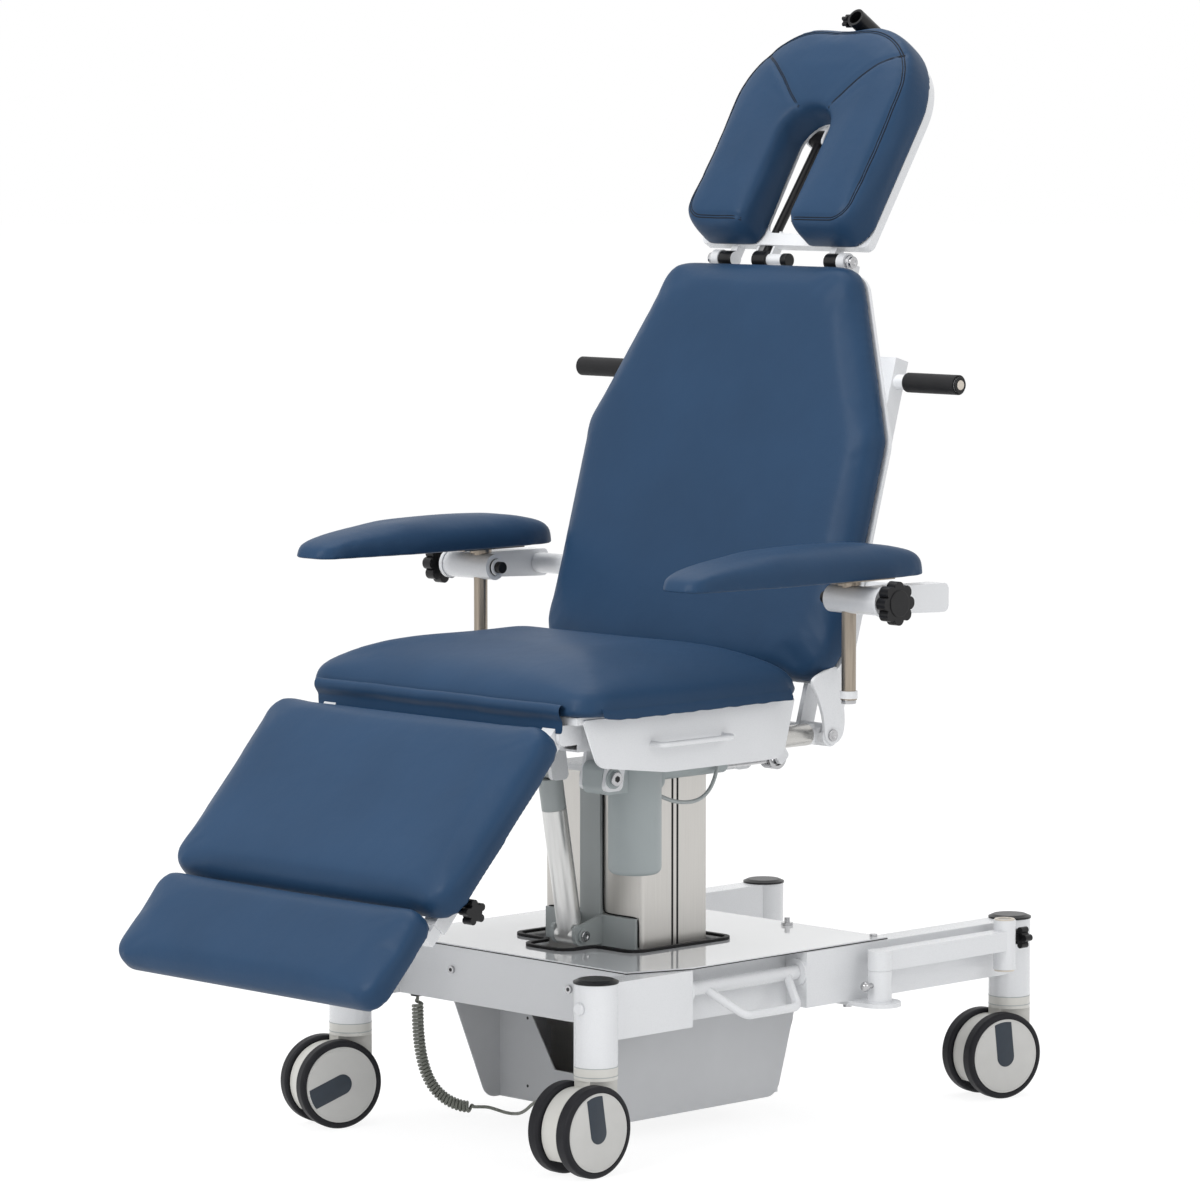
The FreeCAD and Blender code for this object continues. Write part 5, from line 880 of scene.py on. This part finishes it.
def makeTrims(look):
    white = materials["white_paint"]
    dark = materials["black_plastic"]
    bright = materials["bright_steel"]
    control = materials["control_dark"]
    bush = materials["bush_beige"]
    front = (0, -1, 0)
    up = (0, 0, 1)
    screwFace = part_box("chassis_screws")[0].y
    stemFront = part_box("front_legs")[0].y
    collarOut = min(abs(vertex.co.x) for vertex in nodes["push_grips"].data.vertices) + look["collarLap"]
    capPiece("stemPlug", (look["plug"][0], stemFront + 0.0004, look["plug"][1]), front, 0.0085, 0.0045, white,
             "chassis")
    capPiece("actuatorBoltCap", spotAt(0.1613, look["actuatorBolt"]), (1, 0, 0), 0.0100, 0.0030, bright, "seat")
    # dark hex on the bright bolt cap: painted shade in its socket
    socketShade("actuatorSocketShade", spotAt(0.1645, look["actuatorBolt"]), (1, 0, 0), 0.0046, dark, "seat")
    for side, tag, word in ((-1, "L", "left"), (1, "R", "right")):
        way = (side, 0, 0)
        screwX, screwZ = look["panelScrew"]
        # dark hex on each panel screw: painted shade in its socket
        socketShade("panelSocketShade" + tag, (side * screwX, screwFace - 0.0002, screwZ), front, look["socket"], control,
                  "chassis")
        domedBolt("tiltPivotBolt" + tag, spotAt(side * 0.029, look["tiltPivot"]), way, 0.0075, 0.003, bright, "lift")
        domedBolt("backHingeBolt" + tag, spotAt(side * 0.2725, look["backHinge"]), way, 0.0085, 0.0035, bright, "back")
        # head hinge: black sleeve, bright washer and bolt end
        ringPiece("headSleeve" + tag, spotAt(side * 0.1050, look["headHinge"]), way, 0.0118, 0.0100, 0.0245, dark,
                  "head")
        ringPiece("headWasher" + tag, spotAt(side * 0.1350, look["headHinge"]), way, 0.0105, 0.0060, 0.0022, bright,
                  "head")
        domedBolt("headHingeBolt" + tag, spotAt(side * 0.138, look["headHinge"]), way, 0.0085, 0.004, bright, "head")
        # push bar end, and a collar that carries the grip in to the pad
        capPiece("pushBarEnd" + tag, spotAt(side * 0.3752, look["pushBar"]), way, 0.0115, 0.0030, dark, "back")
        capPiece("pushBarDisc" + tag, spotAt(side * 0.3776, look["pushBar"]), way, 0.0068, 0.0012, bush, "back")
        ringPiece("gripCollar" + tag, spotAt(side * (look["collarIn"] + collarOut) / 2, look["pushBar"]), way,
                  look["collar"], look["collarBore"], collarOut - look["collarIn"], materials["rubber"], "back")
        # arm post ends, clamp plug and knob hub
        post = (side * look["postX"], look["postY"])
        clamp = (look["postY"], look["clampLevel"])
        ringPiece("postRing" + tag, (*post, 0.6290), up, 0.0124, 0.0100, 0.0105, white, "arm_post_" + word)
        ringPiece("postCollar" + tag, (*post, 0.7860), up, 0.0128, 0.0100, 0.0075, white, "arm_post_" + word)
        capPiece("postEnd" + tag, (*post, 0.6225), (0, 0, -1), 0.0105, 0.0060, bright, "arm_post_" + word,
                 0.8)
        capPiece("clampPlug" + tag, spotAt(side * 0.3368, clamp), (-side, 0, 0), 0.0126, 0.0030, dark, "arm_" + word)
        capPiece("clampStop" + tag, spotAt(side * 0.3342, clamp), (-side, 0, 0), 0.0085, 0.0130, dark, "arm_" + word,
                 0.8)
        knobFace = max(abs(corner.x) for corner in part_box("arm_knob_" + word)) - 0.0008
        capPiece("knobHub" + tag, spotAt(side * knobFace, clamp), way, 0.0185, 0.0022, dark, "arm_knob_" + word)
        # sleeve of the back stub, and the hinge's cheek
        ringPiece("stubSleeve" + tag, spotAt(side * 0.240, look["stub"]), (0, 1, 0), 0.0154, 0.0130, 0.090,
                  materials["tube_steel"], "seat")
        platePiece("hingeCheek" + tag, hingeCheek["outline"], side * hingeCheek["inner"], side * hingeCheek["outer"],
                   white, "back")
    # strut pivots of the headrest
    top = slopeSpot(*headPlane, *look["strutTop"])
    capPiece("strutCap", top + Vector((look["strutCapOut"], 0, 0)), (1, 0, 0), 0.0095, 0.0060, dark, "head",
             0.5)
    capPiece("strutShaftCap", spotAt(0.0045, look["headHinge"]), (1, 0, 0), 0.0102, 0.0110, dark, "head",
             0.5)
    # bush rings at both ends of the pole socket, and two dark discs on the tray's front: painted shade of two holes
    for word, level in look["poleLevels"].items():
        ringPiece("poleBush" + word, (*look["poleSocket"], level), up, 0.0145, 0.0100, 0.0026, bush, "pole_arm")
    for level in look["trayLevels"]:
        capPiece("trayHoleShade" + str(round(level * 1000)), (*look["trayHoleShade"], level), front, 0.0022, 0.0006, control,
                 "chassis")
    makeGrooveStrips(grooveLook)
    makeBracketLine(bracketLine)
    makeCoverShadow(coverShadowLook)


# dark strips in the grooves down both sides of the column
grooveLook = dict(inset=0.0014, apart=0.005, depth=0.0012, width=0.0038, short=0.002, edge=0.0003)


def makeGrooveStrips(look):
    low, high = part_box("column_outer")
    middle = (low + high) / 2
    for side in (-1, 1):
        for way in (-1, 1):
            deselectAll()
            place = (side * (high.x - look["inset"]), middle.y + way * look["apart"], middle.z)
            bpy.ops.mesh.primitive_cube_add(size=1, location=place)
            strip = bpy.context.active_object
            strip.name = "grooveStrip" + str(side + 2) + str(way + 2)
            strip.scale = (look["depth"], look["width"], high.z - low.z - look["short"])
            settle(strip)
            softenEdges(strip, look["edge"], 2)
            finishPiece(strip, materials["rubber"], "lift")


# thin dark line round the bracket plates on the column front, (x, z) from its top to its foot
bracketLine = dict(wire=0.0011, front=0.0094, path=[
    (0.0212, 0.496), (0.0212, 0.36), (0.0212, 0.314), (0.0232, 0.3052), (0.032, 0.3032), (0.060, 0.3032),
    (0.082, 0.3032), (0.0895, 0.3017), (0.0912, 0.294), (0.0912, 0.28), (0.0912, 0.262)])


def makeBracketLine(look):
    for side in (-1, 1):
        points = [(side * x, look["front"], z) for x, z in look["path"]]
        line = curveToMesh(curveFrom("bracketDarkLine" + str(side + 2), points, look["wire"]))
        activate(line)
        bpy.ops.object.shade_smooth()
        finishPiece(line, materials["rubber"], "lift")


# thin dark band under the rim of the cover plate: painted shadow of the gap below the plate's edge
coverShadowLook = dict(grow=0.0010, lift=0.0001, height=0.36)


def makeCoverShadow(look):
    band = bpy.data.objects.new("coverShadowBand", nodes["cover_plate"].data.copy())
    scene.collection.objects.link(band)
    faceOutward(band, weldGap)
    low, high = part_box("cover_plate")
    centre = (low + high) / 2
    growX = 1 + look["grow"] / (high.x - centre.x)
    growY = 1 + look["grow"] / (high.y - centre.y)
    for vertex in band.data.vertices:
        vertex.co.x = centre.x + (vertex.co.x - centre.x) * growX
        vertex.co.y = centre.y + (vertex.co.y - centre.y) * growY
        vertex.co.z = low.z + look["lift"] + (vertex.co.z - low.z) * look["height"]
    # the dark material on this band is painted shadow, not a real part
    finishPiece(band, materials["rubber"], "chassis")


makeTrims(trimLook)
print("trims")


# vinyl flap folded over the front of the seat
flapLook = dict(half=0.246, thickness=0.0010, fill=0.3, steps=60, calmRows=3, wave=0.0004, ripple=0.0002, profile=[
    (-0.2856, 0.5980), (-0.2856, 0.6120), (-0.2860, 0.6156), (-0.2880, 0.6190), (-0.2908, 0.6224), (-0.2930, 0.6265),
    (-0.2930, 0.6325), (-0.2900, 0.6370), (-0.2856, 0.6380), (-0.2815, 0.6345), (-0.2785, 0.6290),
    (-0.2755, 0.6240), (-0.2725, 0.6215)])


def makeFlap(look):
    count = len(look["profile"])
    deselectAll()
    bpy.ops.mesh.primitive_grid_add(x_subdivisions=look["steps"], y_subdivisions=count - 1, size=2)
    flap = bpy.context.active_object
    flap.name = "frontFlap"
    for vertex in flap.data.vertices:
        row = round((vertex.co.y + 1) / 2 * (count - 1))
        y, z = look["profile"][row]
        share = vertex.co.x
        wave = look["wave"] * math.sin(share * 9) + look["ripple"] * math.sin(share * 23 + 1)
        if row < look["calmRows"]:
            wave = 0
        vertex.co = (share * look["half"], y + wave, z + wave * 0.6)
    faceOutward(flap)
    thicken(flap, look["thickness"])
    subdivide(flap, 2)
    activate(flap)
    bpy.ops.object.shade_smooth()
    finishPiece(flap, materials["navy_vinyl"], "seat")
    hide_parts("front_strip")


makeFlap(flapLook)
print("front flap")


# hem of the seat cover, drawn over the top edge of the side panels with an uneven cut edge
hemLook = dict(face=0.2896, front=-0.2500, rear=0.1130, high=0.6330, low=0.6160, thickness=0.0009, steps=110,
               wave=0.0004, ripple=0.0003, slope=0.0016, frontLift=0.0050, lean=0.0085, leanFrom=0.25)


def makeHem(look):
    for side in (-1, 1):
        deselectAll()
        bpy.ops.mesh.primitive_grid_add(x_subdivisions=look["steps"], y_subdivisions=3, size=2)
        hem = bpy.context.active_object
        hem.name = "seatHem" + ("R" if side > 0 else "L")
        for vertex in hem.data.vertices:
            share = (vertex.co.x + 1) / 2
            rise = (vertex.co.y + 1) / 2
            cut = look["wave"] * math.sin(share * 47) + look["ripple"] * math.sin(share * 83 + side)
            low = look["low"] - cut + look["slope"] * share + look["frontLift"] * max(0, 1 - share * 9) ** 2
            out = look["face"] - look["lean"] * max(0, rise - look["leanFrom"])
            vertex.co = (side * out, look["front"] + share * (look["rear"] - look["front"]),
                         low + rise * (look["high"] - low))
        faceOutward(hem)
        thicken(hem, look["thickness"])
        smooth(hem, 40)
        finishPiece(hem, materials["navy_vinyl"], "seat")


makeHem(hemLook)
print("seat hem")


# pale floor, white surroundings and soft studio lamps
studio = dict(floorSize=400.0, floorWhite=0.86, floorGlow=0.75, glowStrength=1.17, worldStrength=0.60, lamps=[
    dict(name="keyLamp", place=(0.2, -5.4, 4.2), aim=(0, 0, 0.8), size=3.4, power=262),
    dict(name="fillLamp", place=(5.2, 0.6, 3.0), aim=(0, 0.1, 0.7), size=3.0, power=40),
    dict(name="topLamp", place=(-0.6, 0.4, 5.2), aim=(0, 0.1, 0.6), size=3.6, power=100)])


def seenRays(tree):
    path = tree.nodes.new("ShaderNodeLightPath")
    first = tree.nodes.new("ShaderNodeMath")
    first.operation = "MAXIMUM"
    tree.links.new(path.outputs["Is Camera Ray"], first.inputs[0])
    tree.links.new(path.outputs["Is Glossy Ray"], first.inputs[1])
    second = tree.nodes.new("ShaderNodeMath")
    second.operation = "MAXIMUM"
    tree.links.new(first.outputs[0], second.inputs[0])
    tree.links.new(path.outputs["Is Transmission Ray"], second.inputs[1])
    return second.outputs[0]


def makeStudio(look):
    deselectAll()
    bpy.ops.mesh.primitive_plane_add(size=look["floorSize"], location=(0, 0, -0.0002))
    floor = bpy.context.active_object
    floor.name = "studioFloor"
    settle(floor)
    material = bpy.data.materials.new("studioFloor")
    material.use_nodes = True
    tree = material.node_tree
    tree.nodes.remove(tree.nodes["Principled BSDF"])
    matte = tree.nodes.new("ShaderNodeBsdfDiffuse")
    matte.inputs["Color"].default_value = (look["floorWhite"],) * 3 + (1,)
    glow = tree.nodes.new("ShaderNodeEmission")
    glow.inputs["Strength"].default_value = look["glowStrength"]
    mix = tree.nodes.new("ShaderNodeMixShader")
    share = tree.nodes.new("ShaderNodeMath")
    share.operation = "MULTIPLY"
    share.inputs[1].default_value = look["floorGlow"]
    tree.links.new(seenRays(tree), share.inputs[0])
    tree.links.new(share.outputs[0], mix.inputs["Fac"])
    tree.links.new(matte.outputs[0], mix.inputs[1])
    tree.links.new(glow.outputs[0], mix.inputs[2])
    tree.links.new(mix.outputs[0], tree.nodes["Material Output"].inputs["Surface"])
    floor.data.materials.append(material)
    world = bpy.data.worlds.new("studioWorld")
    world.use_nodes = True
    scene.world = world
    tree = world.node_tree
    light = tree.nodes["Background"]
    light.inputs["Color"].default_value = (0.985, 0.99, 1.0, 1)
    light.inputs["Strength"].default_value = look["worldStrength"]
    seen = tree.nodes.new("ShaderNodeBackground")
    seen.inputs["Color"].default_value = (1, 1, 1, 1)
    mix = tree.nodes.new("ShaderNodeMixShader")
    tree.links.new(seenRays(tree), mix.inputs["Fac"])
    tree.links.new(light.outputs[0], mix.inputs[1])
    tree.links.new(seen.outputs[0], mix.inputs[2])
    tree.links.new(mix.outputs[0], tree.nodes["World Output"].inputs["Surface"])
    for lamp in look["lamps"]:
        data = bpy.data.lights.new(lamp["name"], "AREA")
        data.size = lamp["size"]
        data.energy = lamp["power"]
        obj = bpy.data.objects.new(lamp["name"], data)
        scene.collection.objects.link(obj)
        obj.location = lamp["place"]
        aim = Vector(lamp["aim"]) - Vector(lamp["place"])
        obj.rotation_mode = "QUATERNION"
        obj.rotation_quaternion = aim.to_track_quat("-Z", "Y")


makeStudio(studio)
scene.view_settings.view_transform = "Standard"
print("studio lit")
